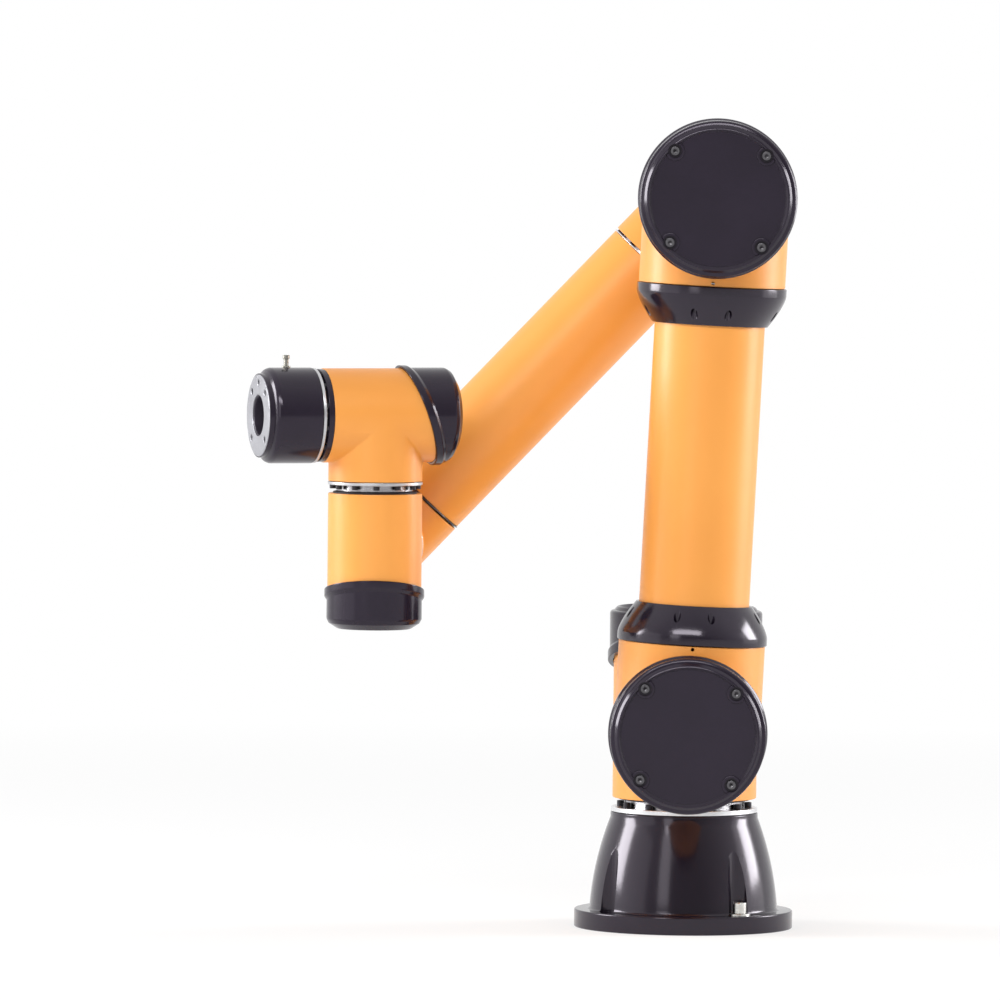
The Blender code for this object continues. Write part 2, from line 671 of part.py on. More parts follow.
# Wrist 1: stub to the forearm, drive 5 upright with its cap below
wrist_stub = SMALL.housing_r + WRIST_STUB_LAND
wrist_step = SMALL.output_reach + SMALL.ring_zone + wrist_stub
wrist_1 = add_link("wrist_1", forearm, Matrix.Translation((0.0, -wrist_step, FOREARM_LENGTH))
                   @ Matrix.Rotation(WRIST_1_TURN, 4, "Y"))
drive_5 = aim(CENTRE, BACK, DOWN)
add("j4_output_ring", output_ring(SMALL), SILVER, wrist_1, aim((0.0, wrist_step, 0.0), UP, BACK))
add("wrist_1_housing", tee_housing(SMALL, wrist_stub, WRIST_1_SLOPE), PAINT, wrist_1, drive_5)
add("wrist_1_cap", end_cap(SMALL, WRIST_1_SLOPE), BLACK, wrist_1, drive_5)
add_drive("j5", SMALL, wrist_1, drive_5)

# Wrist 2: stub down to wrist 1, drive 6 lies level with its cap away from the tool
wrist_2 = add_link("wrist_2", wrist_1, Matrix.Translation((0.0, 0.0, wrist_step))
                   @ Matrix.Rotation(WRIST_2_TURN, 4, "Z"))
drive_6 = aim(CENTRE, DOWN, RIGHT)
add("j5_output_ring", output_ring(SMALL), SILVER, wrist_2, aim((0.0, 0.0, -wrist_step), BACK, DOWN))
add("wrist_2_housing", tee_housing(SMALL, wrist_stub, SMALL.cap_slope), PAINT, wrist_2, drive_6)
add("wrist_2_cap", end_cap(SMALL, SMALL.cap_slope), BLACK, wrist_2, drive_6)
add_drive("j6", SMALL, wrist_2, drive_6)

# Tool flange: ring of joint 6, black sleeve, light metal plate, and the connector on top
tool_flange = add_link("tool_flange", wrist_2, Matrix.Identity(4))
sleeve_r = SMALL.housing_r + TOOL_SLEEVE_OVER
plate_r = sleeve_r - TOOL_SLEEVE_WALL
sleeve_back = -SMALL.output_reach - SMALL.ring_zone
plate_back = sleeve_back - TOOL_SLEEVE_FLOOR - CLEARANCE
tool_face = sleeve_back - TOOL_SLEEVE_LENGTH - TOOL_SLEEVE_BEVEL - TOOL_PLATE_RISE
add("j6_output_ring", output_ring(SMALL), SILVER, tool_flange, drive_6)
add("tool_flange_sleeve", tool_sleeve(sleeve_back, sleeve_r, plate_r), BLACK, tool_flange, drive_6)
add("tool_flange_plate", tool_plate(plate_back, tool_face, plate_r), SILVER, tool_flange, drive_6)
add("tool_connector", tool_connector(sleeve_r), STEEL, tool_flange,
    aim((tool_face + CONNECTOR_SETBACK, 0.0, 0.0), RIGHT, UP))
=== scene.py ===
import math

import bmesh
import bpy
from mathutils import Matrix, Vector


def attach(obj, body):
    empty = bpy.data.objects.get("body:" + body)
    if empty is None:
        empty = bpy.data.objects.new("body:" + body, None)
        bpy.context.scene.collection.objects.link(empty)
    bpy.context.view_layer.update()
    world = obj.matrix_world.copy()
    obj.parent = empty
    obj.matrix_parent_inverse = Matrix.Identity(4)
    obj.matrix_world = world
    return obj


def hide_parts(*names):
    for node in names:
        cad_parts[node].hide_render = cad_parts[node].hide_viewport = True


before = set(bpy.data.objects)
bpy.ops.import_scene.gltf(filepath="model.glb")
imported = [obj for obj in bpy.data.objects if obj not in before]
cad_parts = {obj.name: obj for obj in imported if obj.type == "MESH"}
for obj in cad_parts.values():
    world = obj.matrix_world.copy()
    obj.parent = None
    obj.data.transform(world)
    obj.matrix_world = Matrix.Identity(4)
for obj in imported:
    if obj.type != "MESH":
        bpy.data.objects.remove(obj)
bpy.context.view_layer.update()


# Base casting
# A bell of cast aluminium on a round bolt flange, sprayed with black enamel and baked to a gloss.
# Four pockets in its side let the bolts down onto the flange, and a hole at the back takes the cable.
def alone(piece):
    """Select one piece only, and make it the active one."""
    bpy.ops.object.select_all(action="DESELECT")
    piece.select_set(True)
    bpy.context.view_layer.objects.active = piece


def pick_edges(piece, wanted):
    """Select, in edit mode, the edges whose two ends both pass the test."""
    bpy.ops.mesh.select_mode(type="EDGE")
    bpy.ops.mesh.select_all(action="DESELECT")
    cage = bmesh.from_edit_mesh(piece.data)
    for edge in cage.edges:
        edge.select_set(all(wanted(corner.co) for corner in edge.verts))
    bmesh.update_edit_mesh(piece.data)


SAME_PLACE = 2e-6
SHARP_EDGE = math.radians(32.0)
PATH_RISE = 1.3


def on_ring(radius, height):
    """Test for the corners that lie on a ring about Z."""
    def test(co):
        return abs(math.hypot(co.x, co.y) - radius) < SAME_PLACE and abs(co.z - height) < SAME_PLACE

    return test


def smooth(piece):
    alone(piece)
    bpy.ops.object.shade_smooth_by_angle(angle=SHARP_EDGE)


def turned(name, rings, sides=128, solid=False):
    """Turn a piece on the lathe: a circle is drawn out about Z from ring to ring.

    A ring is a radius and a height, with a rounding where its edge is broken. The last ring is bridged
    back to the first, or on a solid piece both are closed across. The tool's path is kept as "lathe".
    """
    bpy.ops.object.select_all(action="DESELECT")
    bpy.ops.mesh.primitive_circle_add(vertices=sides, radius=rings[0][0])
    piece = bpy.context.object
    piece.name = name
    bpy.ops.object.mode_set(mode="EDIT")
    bpy.ops.mesh.select_all(action="SELECT")
    bpy.ops.transform.translate(value=(0.0, 0.0, rings[0][1]))
    for near, far in zip(rings, rings[1:]):
        bpy.ops.mesh.extrude_region_move(TRANSFORM_OT_translate={"value": (0.0, 0.0, far[1] - near[1])})
        scale = far[0] / near[0]
        bpy.ops.transform.resize(value=(scale, scale, 1.0), center_override=(0.0, 0.0, far[1]))
    first = on_ring(*rings[0][:2])
    last = on_ring(*rings[-1][:2])
    if solid:
        for end in (first, last):
            pick_edges(piece, end)
            bpy.ops.mesh.edge_face_add()
    else:
        pick_edges(piece, lambda co: first(co) or last(co))
        bpy.ops.mesh.bridge_edge_loops()
    for ring in rings:
        if len(ring) > 2:
            pick_edges(piece, on_ring(*ring[:2]))
            bpy.ops.mesh.bevel(offset=ring[2], segments=3, affect="EDGES", clamp_overlap=False)
    bpy.ops.mesh.select_all(action="SELECT")
    bpy.ops.mesh.normals_make_consistent(inside=False)
    bpy.ops.object.mode_set(mode="OBJECT")
    path = piece.data.attributes.new("lathe", "FLOAT", "POINT")
    for corner, mark in zip(piece.data.vertices, path.data):
        mark.value = math.hypot(corner.co.x, corner.co.y) + PATH_RISE * corner.co.z
    smooth(piece)
    return piece


def rod(radius, low, high, sides=48):
    """Plain round bar along Z, for cutting."""
    bpy.ops.object.select_all(action="DESELECT")
    bpy.ops.mesh.primitive_cylinder_add(vertices=sides, radius=radius, depth=high - low)
    piece = bpy.context.object
    piece.data.transform(Matrix.Translation((0.0, 0.0, 0.5 * (low + high))))
    return piece


def joined(pieces, name):
    bpy.ops.object.select_all(action="DESELECT")
    for piece in pieces:
        piece.select_set(True)
    bpy.context.view_layer.objects.active = pieces[0]
    bpy.ops.object.join()
    pieces[0].name = name
    return pieces[0]


def cut(piece, tools, operation="DIFFERENCE"):
    """Cut tools that stand apart out of a piece, or add them to it, and put them away."""
    tool = joined(tools, "tool")
    alone(piece)
    step = piece.modifiers.new("cut", "BOOLEAN")
    step.object = tool
    step.operation = operation
    step.solver = "EXACT"
    bpy.ops.object.modifier_apply(modifier=step.name)
    bpy.data.objects.remove(tool)
    smooth(piece)


def twin(piece, name):
    """Copy of a piece, with a mesh of its own."""
    copy = bpy.data.objects.new(name, piece.data.copy())
    bpy.context.collection.objects.link(copy)
    return copy


def spread(make, count, radius, turn, height=0.0):
    """Make one piece, and copy it round a circle about Z."""
    first = make()
    copies = [first] + [twin(first, first.name) for step in range(1, count)]
    for step, copy in enumerate(copies):
        way = Matrix.Rotation(turn + 2.0 * math.pi * step / count, 4, "Z")
        copy.data.transform(way @ Matrix.Translation((radius, 0.0, height)))
    return copies


def aim(origin, x_dir, z_dir):
    """Placement whose own X and Z lie along the given directions."""
    x_axis = Vector(x_dir)
    z_axis = Vector(z_dir)
    turn = Matrix((x_axis, z_axis.cross(x_axis), z_axis)).transposed()
    return Matrix.Translation(origin) @ turn.to_4x4()


def fit(piece, placement, finish, body, slot, *nodes):
    """Set a finished piece in its place on a body, where it stands for the nodes."""
    alone(piece)
    flats = piece.modifiers.new("flats", "WEIGHTED_NORMAL")
    flats.keep_sharp = True
    bpy.ops.object.modifier_apply(modifier=flats.name)
    piece.data.transform(placement)
    piece.data.name = piece.name
    piece.data.materials.clear()
    piece.data.materials.append(finish)
    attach(piece, body)
    if nodes:
        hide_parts(*nodes)


class Tone:
    """One output of a shader graph, so that masks and heights can be written as arithmetic."""

    def __init__(self, tree, socket):
        self.tree = tree
        self.socket = socket

    def node(self, kind, settings, sockets, out=0):
        made = self.tree.nodes.new(kind)
        for key, value in settings.items():
            if key == "stops":
                ramp = made.color_ramp
                for stop, (place, grey) in zip((ramp.elements[0], ramp.elements[1]), value):
                    stop.position = place
                    stop.color = (grey, grey, grey, 1.0)
            else:
                setattr(made, key, value)
        for key, value in sockets.items():
            if isinstance(value, Tone):
                self.tree.links.new(value.socket, made.inputs[key])
            else:
                made.inputs[key].default_value = value
        return Tone(self.tree, made.outputs[out])

    def math(self, operation, first, second):
        return self.node("ShaderNodeMath", {"operation": operation}, {0: first, 1: second})

    def __add__(self, other):
        return self.math("ADD", self, other)

    def __radd__(self, other):
        return self.math("ADD", other, self)

    def __sub__(self, other):
        return self.math("SUBTRACT", self, other)

    def __rsub__(self, other):
        return self.math("SUBTRACT", other, self)

    def __mul__(self, other):
        return self.math("MULTIPLY", self, other)

    def __rmul__(self, other):
        return self.math("MULTIPLY", other, self)

    def noise(self, scale, detail=2.0, roughness=0.5):
        sockets = {"Vector": self, "Scale": scale, "Detail": detail, "Roughness": roughness}
        return self.node("ShaderNodeTexNoise", {}, sockets)

    def ramp(self, low, high, start=0.0, end=1.0):
        stops = ((low, start), (high, end))
        return self.node("ShaderNodeValToRGB", {"stops": stops}, {"Fac": self})

    def blend(self, plain, marked):
        """Colour between two colours, by this mask."""
        return self.node("ShaderNodeMix", {"data_type": "RGBA"}, {0: self, 6: plain, 7: marked}, 2)

    def bump(self, depth, strength=1.0):
        return self.node("ShaderNodeBump", {}, {"Height": self, "Distance": depth, "Strength": strength})

    def to(self, shader, name):
        self.tree.links.new(self.socket, shader.inputs[name])


def new_finish(name, constants):
    """Start a finish: the material, its shader, and a Tone on the piece's own coordinates."""
    finish = bpy.data.materials.new(name)
    finish.use_nodes = True
    shader = finish.node_tree.nodes["Principled BSDF"]
    for key, value in constants.items():
        shader.inputs[key].default_value = value
    place = finish.node_tree.nodes.new("ShaderNodeTexCoord")
    return finish, shader, Tone(finish.node_tree, place.outputs["Object"])


def sprayed_enamel(name, colour, shade, roughness, constants):
    """Sprayed enamel: a slight drift in colour, the spray's orange peel, and wiped patches in the gloss."""
    finish, shader, place = new_finish(name, constants)
    drift = place.noise(14.0, 3.0).ramp(0.35, 0.65)
    drift.blend((*colour, 1.0), (*shade, 1.0)).to(shader, "Base Color")
    wiped = place.noise(9.0, 4.0, 0.6)
    specks = place.noise(700.0, 1.0).ramp(0.66, 0.74)
    (roughness + 0.08 * (wiped - 0.5) + 0.05 * specks).to(shader, "Roughness")
    peel = place.noise(420.0, 2.0)
    (peel + 0.25 * place.noise(1900.0, 1.0)).bump(0.00004, 0.6).to(shader, "Normal")
    return finish


FLANGE_R = 0.0850
FLANGE_TOP = 0.0140
BELL_ROOT_R = 0.0736
BELL_TOP_R = 0.0573
BELL_TOP = 0.0900
BELL_CURVE_TOP = 0.0860
BELL_STEPS = 18
ROOF = 0.0820
ROOF_R = 0.0500
ROOF_HOLE_R = 0.0200
BASE_WALL_R = 0.0580
BASE_WALL_TOP = 0.0574
COVER_SEAT_R = 0.0625
COVER_SEAT = 0.0033
BOLT_CIRCLE_R = 0.0740
BOLT_TURN = math.radians(-54.5)
BOLT_HOLE_R = 0.0045
POCKET_R = 0.0090
CABLE_HEIGHT = 0.0400
CABLE_HOLE_R = 0.0124
SPOT_FACE_R = 0.0154
SPOT_FACE = 0.0650

bell_rings = [(FLANGE_R, 0.0, 0.0010), (FLANGE_R, FLANGE_TOP, 0.0012)]
for step in range(BELL_STEPS + 1):
    height = FLANGE_TOP + (BELL_CURVE_TOP - FLANGE_TOP) * step / BELL_STEPS
    radius = BELL_ROOT_R - (BELL_ROOT_R - BELL_TOP_R) * (height / BELL_CURVE_TOP) ** 2
    bell_rings.append((radius, height, 0.0022) if step == 0 else (radius, height))
bell_rings += [(BELL_TOP_R, BELL_TOP, 0.0010), (ROOF_HOLE_R, BELL_TOP), (ROOF_HOLE_R, ROOF), (ROOF_R, ROOF)]
bell_rings += [(BASE_WALL_R, BASE_WALL_TOP), (BASE_WALL_R, COVER_SEAT)]
bell_rings += [(COVER_SEAT_R, COVER_SEAT), (COVER_SEAT_R, 0.0)]
base_casting = turned("base_bell", bell_rings, 144)
cut(base_casting, spread(lambda: rod(POCKET_R, FLANGE_TOP, BELL_TOP), 4, BOLT_CIRCLE_R, BOLT_TURN))
cut(base_casting, spread(lambda: rod(BOLT_HOLE_R, -0.01, 0.02, 32), 4, BOLT_CIRCLE_R, BOLT_TURN))
cable_way = aim((0.0, 0.0, CABLE_HEIGHT), (1.0, 0.0, 0.0), (0.0, 1.0, 0.0))
for hole in (rod(CABLE_HOLE_R, 0.045, 0.100), rod(SPOT_FACE_R, SPOT_FACE, 0.100)):
    hole.data.transform(cable_way)
    cut(base_casting, [hole])
black_enamel = sprayed_enamel("black_enamel", (0.0095, 0.0062, 0.0125), (0.0115, 0.0080, 0.0150), 0.15,
                              {"Specular Tint": (0.96, 0.89, 1.0, 1.0)})
fit(base_casting, Matrix.Identity(4), black_enamel, "base", "black_paint", "base_housing")


# Base bolts
# Two socket head bolts of zinc plated steel on washers, down in two opposite pockets of the flange. The
# holes in the other two pockets are empty.
def socket_screw(name, head_r, head_height, socket_r, shank_r, shank_length):
    """Socket head screw standing on z = 0, with a hexagon cut into the head down to a drill point."""
    rings = [(shank_r, -shank_length), (shank_r, 0.0), (head_r, 0.0, 0.06 * head_r),
             (head_r, head_height, 0.14 * head_r)]
    screw = turned(name, rings, 32, solid=True)
    floor = 0.42 * head_height
    hexagon = [(0.05 * socket_r, floor - 0.5 * socket_r), (socket_r, floor), (socket_r, 2.0 * head_height)]
    cut(screw, [turned("hexagon", hexagon, 6, solid=True)])
    return screw


WASHER_R = 0.0082
WASHER_HOLE_R = 0.0056
WASHER_THICK = 0.0014
HAIRLINE = 0.0001


def bolt_and_washer():
    bolt = socket_screw("bolt", head_r=0.0052, head_height=0.0086, socket_r=0.0030, shank_r=0.0040,
                        shank_length=0.0132)
    washer = turned("washer", [
        (WASHER_R, 0.0), (WASHER_R, WASHER_THICK, 0.0003),
        (WASHER_HOLE_R, WASHER_THICK), (WASHER_HOLE_R, 0.0),
    ], 40)
    bolt.data.transform(Matrix.Translation((0.0, 0.0, WASHER_THICK + HAIRLINE)))
    return joined([bolt, washer], "bolt")


def zinc_plate(name, colour, roughness):
    """Plated steel: blotchy dull and bright patches and fine scratches."""
    finish, shader, place = new_finish(name, {"Metallic": 1.0})
    blotch = place.noise(160.0, 3.0, 0.6)
    dull = tuple(0.72 * part for part in colour)
    blotch.ramp(0.35, 0.70).blend((*colour, 1.0), (*dull, 1.0)).to(shader, "Base Color")
    scratches = place.noise(2600.0, 2.0)
    (roughness + 0.20 * (blotch - 0.5) + 0.06 * scratches).to(shader, "Roughness")
    scratches.bump(0.00003, 0.5).to(shader, "Normal")
    return finish


zinc = zinc_plate("zinc_plate", (0.78, 0.77, 0.74), 0.26)
base_bolts = joined(spread(bolt_and_washer, 2, BOLT_CIRCLE_R, BOLT_TURN, FLANGE_TOP + HAIRLINE), "base_bolts")
fit(base_bolts, Matrix.Identity(4), zinc, "base", "steel")


# Underside cover and cable socket
# The cover is a steel disc let into the foot, held by six countersunk screws. The socket is a turned
# steel connector with a coupling thread and eight pins in a black insulator.
COVER_R = 0.0620
COVER_THICK = 0.0030
COVER_SCREWS = 6
COVER_CIRCLE_R = 0.0550
COVER_SCREW_TURN = 0.3


def countersink():
    return turned("sink", [(0.0017, 0.004), (0.0017, 0.0016), (0.0034, 0.0)], 24, solid=True)


bottom_cover = turned("base_bottom_plate", [(COVER_R, 0.0, 0.0005), (COVER_R, COVER_THICK)], 96, solid=True)
cut(bottom_cover, spread(countersink, COVER_SCREWS, COVER_CIRCLE_R, COVER_SCREW_TURN))
fit(bottom_cover, Matrix.Identity(4), zinc, "base", "steel", "base_bottom_cover")


def flat_screw():
    screw = turned("flat_screw", [(0.0015, 0.0029), (0.0015, 0.0018), (0.0030, 0.0003)], 24, solid=True)
    cut(screw, [rod(0.0012, -0.001, 0.0012, 6)])
    return screw


cover_screws = joined(spread(flat_screw, COVER_SCREWS, COVER_CIRCLE_R, COVER_SCREW_TURN),
                      "base_cover_screws")
fit(cover_screws, Matrix.Identity(4), zinc, "base", "steel")

TAIL_R = 0.0119
COLLAR_R = 0.0150
COLLAR_BACK = 0.0653
COLLAR_FRONT = 0.0688
THREAD_START = 0.0692
THREAD_PITCH = 0.0011
THREAD_TURNS = 9
THREAD_ROOT_R = 0.0114
THREAD_R = 0.0120
MOUTH = 0.0798
MOUTH_R = 0.0090
INSULATOR_R = 0.0087
INSULATOR_FACE = 0.0690
socket_rings = [(TAIL_R, 0.0542), (TAIL_R, COLLAR_BACK), (COLLAR_R, COLLAR_BACK, 0.0004),
                (COLLAR_R, COLLAR_FRONT, 0.0006)]
for turn_of_thread in range(THREAD_TURNS):
    level = THREAD_START + THREAD_PITCH * turn_of_thread
    socket_rings += [(THREAD_ROOT_R, level), (THREAD_R, level + 0.0004), (THREAD_R, level + 0.0006)]
socket_rings += [(0.0112, MOUTH), (MOUTH_R, MOUTH, 0.0004), (MOUTH_R, 0.0655)]
cable_socket = turned("base_cable_connector", socket_rings, 64, solid=True)
fit(cable_socket, cable_way, zinc, "base", "steel", "base_cable_socket")


def black_moulding(name, colour, roughness, grain):
    """Moulded black plastic: fine spark-eroded grain, with handled patches a little glossier."""
    constants = {"Specular IOR Level": 0.38, "Specular Tint": (0.95, 0.88, 1.0, 1.0)}
    finish, shader, place = new_finish(name, constants)
    cloud = place.noise(22.0, 3.0)
    lighter = tuple(1.35 * part for part in colour)
    cloud.ramp(0.3, 0.7).blend((*colour, 1.0), (*lighter, 1.0)).to(shader, "Base Color")
    handled = place.noise(11.0, 4.0, 0.6)
    (roughness + 0.12 * (handled - 0.5)).to(shader, "Roughness")
    place.noise(grain, 2.0).bump(0.00002, 0.5).to(shader, "Normal")
    return finish


insulator_black = black_moulding("insulator_black", (0.010, 0.010, 0.011), 0.45, 1500.0)
insulator = turned("cable_insulator", [(INSULATOR_R, 0.0656), (INSULATOR_R, INSULATOR_FACE, 0.0004)], 48,
                   solid=True)
fit(insulator, cable_way, insulator_black, "base", "black_plastic")
gold_flash = zinc_plate("gold_flash", (0.90, 0.66, 0.30), 0.22)
PIN_R = 0.0005
PIN_TIP = 0.0752


def contact_pin():
    return turned("pin", [(PIN_R, INSULATOR_FACE), (PIN_R, PIN_TIP, 0.5 * PIN_R)], 12, solid=True)


pins = joined(spread(contact_pin, 8, 0.0058, 0.2), "cable_pins")
fit(pins, cable_way, gold_flash, "base", "steel")


# Joint 1 ring
# Turned aluminium ring on top of the bell. Its disc shows as a bright line under the shoulder, and
# black socket screws stand on the disc in the gap of the joint.
LARGE = {
    "r": 0.0562, "reach": 0.0620, "zone": 0.0110, "disc_r": 0.0570, "disc": 0.0035, "seal_r": 0.0513,
    "neck_r": 0.0466, "hub_r": 0.0460, "hub": 0.0160, "tooth_r": 0.0408, "hole_r": 0.0200, "sides": 128,
    "screw_r": 0.0028, "screw_height": 0.0042, "screw_circle": 0.0497,
}
GAP = 0.0003
NECK_SINK = 0.0010


def disc_foot(size):
    return GAP - size["reach"] - size["zone"]


def ring_disc(name, size):
    """Bright disc at the foot of a joint's output."""
    foot = disc_foot(size)
    shelf = foot + size["disc"]
    return turned(name, [
        (size["disc_r"], foot, 0.0004), (size["disc_r"], shelf, 0.0005), (size["neck_r"], shelf),
        (size["neck_r"], shelf - NECK_SINK), (size["hole_r"], shelf - NECK_SINK), (size["hole_r"], foot),
    ], size["sides"])


def ring_hub(name, size):
    """Neck that stands on the disc, with the toothed hub inside the casting."""
    foot = disc_foot(size) + size["disc"] - NECK_SINK
    step = -GAP - size["reach"]
    hub_end = size["hub"] - size["reach"]
    floor = 0.0020 - size["reach"]
    return turned(name, [
        (size["neck_r"], foot), (size["neck_r"], step), (size["hub_r"], step), (size["hub_r"], hub_end),
        (size["tooth_r"], hub_end), (size["tooth_r"], floor), (size["hole_r"], floor), (size["hole_r"], foot),
    ], size["sides"])


def seal(name, size, radius, depth):
    """Rubber lip that closes the gap between the ring's neck and the casting."""
    high = -HAIRLINE - size["reach"]
    bore_r = size["neck_r"] + HAIRLINE
    return turned(name, [
        (radius, high), (radius, high - depth, 0.0004), (bore_r, high - depth - 0.0008), (bore_r, high),
    ], size["sides"])


def ring_screws(name, size, turn):
    """Twelve socket screws on the disc of an output ring."""
    shelf = disc_foot(size) + size["disc"]

    def one():
        radius = size["screw_r"]
        return socket_screw("screw", head_r=radius, head_height=size["screw_height"], socket_r=0.52 * radius,
                            shank_r=0.5 * radius, shank_length=0.0020)

    return joined(spread(one, 12, size["screw_circle"], turn, shelf), name)


def turned_metal(name, colour, roughness, pitch):
    """Turned metal: rings from the tool, a slow change in their depth, and handling marks."""
    finish, shader, place = new_finish(name, {"Metallic": 1.0})
    cloud = place.noise(60.0, 3.0)
    dull = tuple(0.80 * part for part in colour)
    cloud.ramp(0.35, 0.75).blend((*colour, 1.0), (*dull, 1.0)).to(shader, "Base Color")
    path = place.node("ShaderNodeAttribute", {"attribute_name": "lathe"}, {}, 2)
    groove = place.math("SINE", path * (2.0 * math.pi / pitch), 0.0)
    feed = place.math("SINE", path * (2.0 * math.pi / (11.3 * pitch)), 0.0)
    (roughness + 0.05 * groove + 0.05 * feed + 0.10 * (cloud - 0.5)).to(shader, "Roughness")
    (groove + 0.6 * feed).bump(0.000012, 0.6).to(shader, "Normal")
    return finish


bright_metal = turned_metal("turned_aluminium", (0.80, 0.80, 0.82), 0.27, 0.00030)
black_oxide = zinc_plate("black_oxide", (0.055, 0.052, 0.058), 0.34)
# Steel for the neck and hub. Its colour is kept darker than bare steel as painted shade for the deep groove
# round the neck.
hub_steel = turned_metal("hub_steel", (0.400, 0.390, 0.410), 0.20, 0.00025)
seal_rubber = black_moulding("seal_rubber", (0.010, 0.009, 0.010), 0.55, 1200.0)
SHOULDER_HEIGHT = 0.1630
SHOULDER = Matrix.Translation((0.0, 0.0, SHOULDER_HEIGHT))
SEAL_DEPTH = 0.0011


def joint_output(joint, size, turn):
    """The four pieces of one joint's output: disc, hub, screws and seal."""
    return [ring_disc(joint + "_ring", size), ring_hub(joint + "_hub", size),
            ring_screws(joint + "_ring_screws", size, turn),
            seal(joint + "_seal", size, size["seal_r"], SEAL_DEPTH)]


def same_output(pieces, joint):
    return [twin(piece, joint + piece.name[2:]) for piece in pieces]


def fit_output(pieces, placement, metal, rubber, body, node):
    fit(pieces[0], placement, metal, body, "machined_aluminium", node)
    fit(pieces[1], placement, hub_steel, body, "steel")
    fit(pieces[2], placement, black_oxide, body, "steel")
    fit(pieces[3], placement, rubber, body, "black_plastic")


j1_output = joint_output("j1", LARGE, math.radians(-94.0))
j2_output = same_output(j1_output, "j2")
j3_output = same_output(j1_output, "j3")
fit_output(j1_output, SHOULDER, bright_metal, seal_rubber, "base", "j1_output_ring")


# Shoulder
# T-shaped aluminium casting in orange enamel that holds the first drive upright, with a black moulded
# cap over its oblique top, held by four screws. Its stub carries the ring of joint 2.
TEE_SIDES = 96
MITRES = ((1.0, 0.0, -1.0), (1.0, 0.0, 1.0))


def tee_casting(name, radius, low, high, slope, stub_length, wall, fillet):
    """Hollow T of two equal round walls, the barrel along Z and the stub along +X.

    The walls meet on two planes through the centre, so each is cut on those planes and they are welded
    there, then the crease is rounded and the skin gets its thickness.
    """
    def pipe(length, middle, tilt):
        bpy.ops.object.select_all(action="DESELECT")
        bpy.ops.mesh.primitive_cylinder_add(vertices=TEE_SIDES, radius=radius, depth=length, location=middle,
                                            rotation=(0.0, tilt, 0.0), end_fill_type="NOTHING")
        bpy.ops.object.transform_apply(location=True, rotation=True, scale=True)
        bpy.ops.object.mode_set(mode="EDIT")
        return bpy.context.object

    def slice_off(point, away, **cleared):
        bpy.ops.mesh.select_all(action="SELECT")
        bpy.ops.mesh.bisect(plane_co=point, plane_no=away, **cleared)

    centre = (0.0, 0.0, 0.0)
    top = high + abs(slope) * radius + 0.01
    barrel = pipe(top - low, (0.0, 0.0, 0.5 * (top + low)), 0.0)
    for away in MITRES:
        slice_off(centre, away)
    slice_off((0.0, 0.0, high), (-slope, 0.0, 1.0), clear_outer=True)
    cage = bmesh.from_edit_mesh(barrel.data)
    bpy.ops.mesh.select_mode(type="FACE")
    bpy.ops.mesh.select_all(action="DESELECT")
    for face in cage.faces:
        middle = face.calc_center_median()
        face.select_set(middle.x > abs(middle.z))
    bmesh.update_edit_mesh(barrel.data)
    bpy.ops.mesh.delete(type="FACE")
    bpy.ops.object.mode_set(mode="OBJECT")

    stub = pipe(stub_length, (0.5 * stub_length, 0.0, 0.0), 0.5 * math.pi)
    for away in MITRES:
        slice_off(centre, away, clear_inner=True)
    bpy.ops.object.mode_set(mode="OBJECT")

    tee = joined([barrel, stub], name)
    bpy.ops.object.mode_set(mode="EDIT")
    bpy.ops.mesh.select_all(action="SELECT")
    bpy.ops.mesh.remove_doubles(threshold=0.00002)
    bpy.ops.mesh.select_all(action="SELECT")
    bpy.ops.mesh.normals_make_consistent(inside=False)
    crease_reach = 0.93 * radius
    pick_edges(tee, lambda co: abs(co.x - abs(co.z)) < 5e-5 and abs(co.y) < crease_reach)
    bpy.ops.mesh.bevel(offset=fillet, segments=5, affect="EDGES", clamp_overlap=False)
    bpy.ops.object.mode_set(mode="OBJECT")
    alone(tee)
    skin = tee.modifiers.new("wall", "SOLIDIFY")
    skin.thickness = wall
    skin.offset = -1.0
    skin.use_even_offset = True
    bpy.ops.object.modifier_apply(modifier=skin.name)
    bpy.ops.object.mode_set(mode="EDIT")
    outside = radius - 2e-5
    for end in (lambda co: abs(co.z - low) < SAME_PLACE and math.hypot(co.x, co.y) > outside,
                lambda co: abs(co.x - stub_length) < SAME_PLACE and math.hypot(co.y, co.z) > outside):
        pick_edges(tee, end)
        bpy.ops.mesh.bevel(offset=0.0007, segments=2, affect="EDGES", clamp_overlap=False)
    bpy.ops.object.mode_set(mode="OBJECT")
    smooth(tee)
    return tee


SKIRT_GAP = 0.0005
CAP_WALL = 0.0028
LIP_CHAMFER = 1.5
LIP_TILT_REACH = 0.0035


def end_cap(name, size, slope):
    """Hollow end cap, its lip tilted to the oblique end of the casting and its face square to the drive.

    The rings of its face are given by their depths below the end.
    """
    edge = size["cap_edge"]
    lip_top = edge + size["lip_width"]
    end = size["cap_end"]
    skirt_r = size["r"] + SKIRT_GAP
    inside_r = min(skirt_r, size["cap_r"] - CAP_WALL)
    floor = end - size["dish"]
    ceiling = floor - size["end_thick"]
    inner_bevel = inside_r - size["face_r"] + CAP_WALL
    rings = [(size["lip_r"], edge, 0.0008), (size["lip_r"], lip_top, 0.0005),
             (size["cap_r"], lip_top + LIP_CHAMFER * (size["lip_r"] - size["cap_r"]), 0.0004)]
    rings += [(ring[0], end - ring[1], *ring[2:]) for ring in size["face"]]
    rings = list(reversed(rings)) + [(skirt_r, edge)]
    if inside_r < skirt_r:
        rings += [(skirt_r, lip_top), (inside_r, lip_top)]
    rings += [(inside_r, ceiling - inner_bevel), (inside_r - inner_bevel, ceiling)]
    cap = turned(name, rings, size["sides"], solid=True)
    tilted = lip_top + LIP_TILT_REACH
    for corner in cap.data.vertices:
        if corner.co.z < tilted:
            corner.co.z += slope * corner.co.x
    return cap


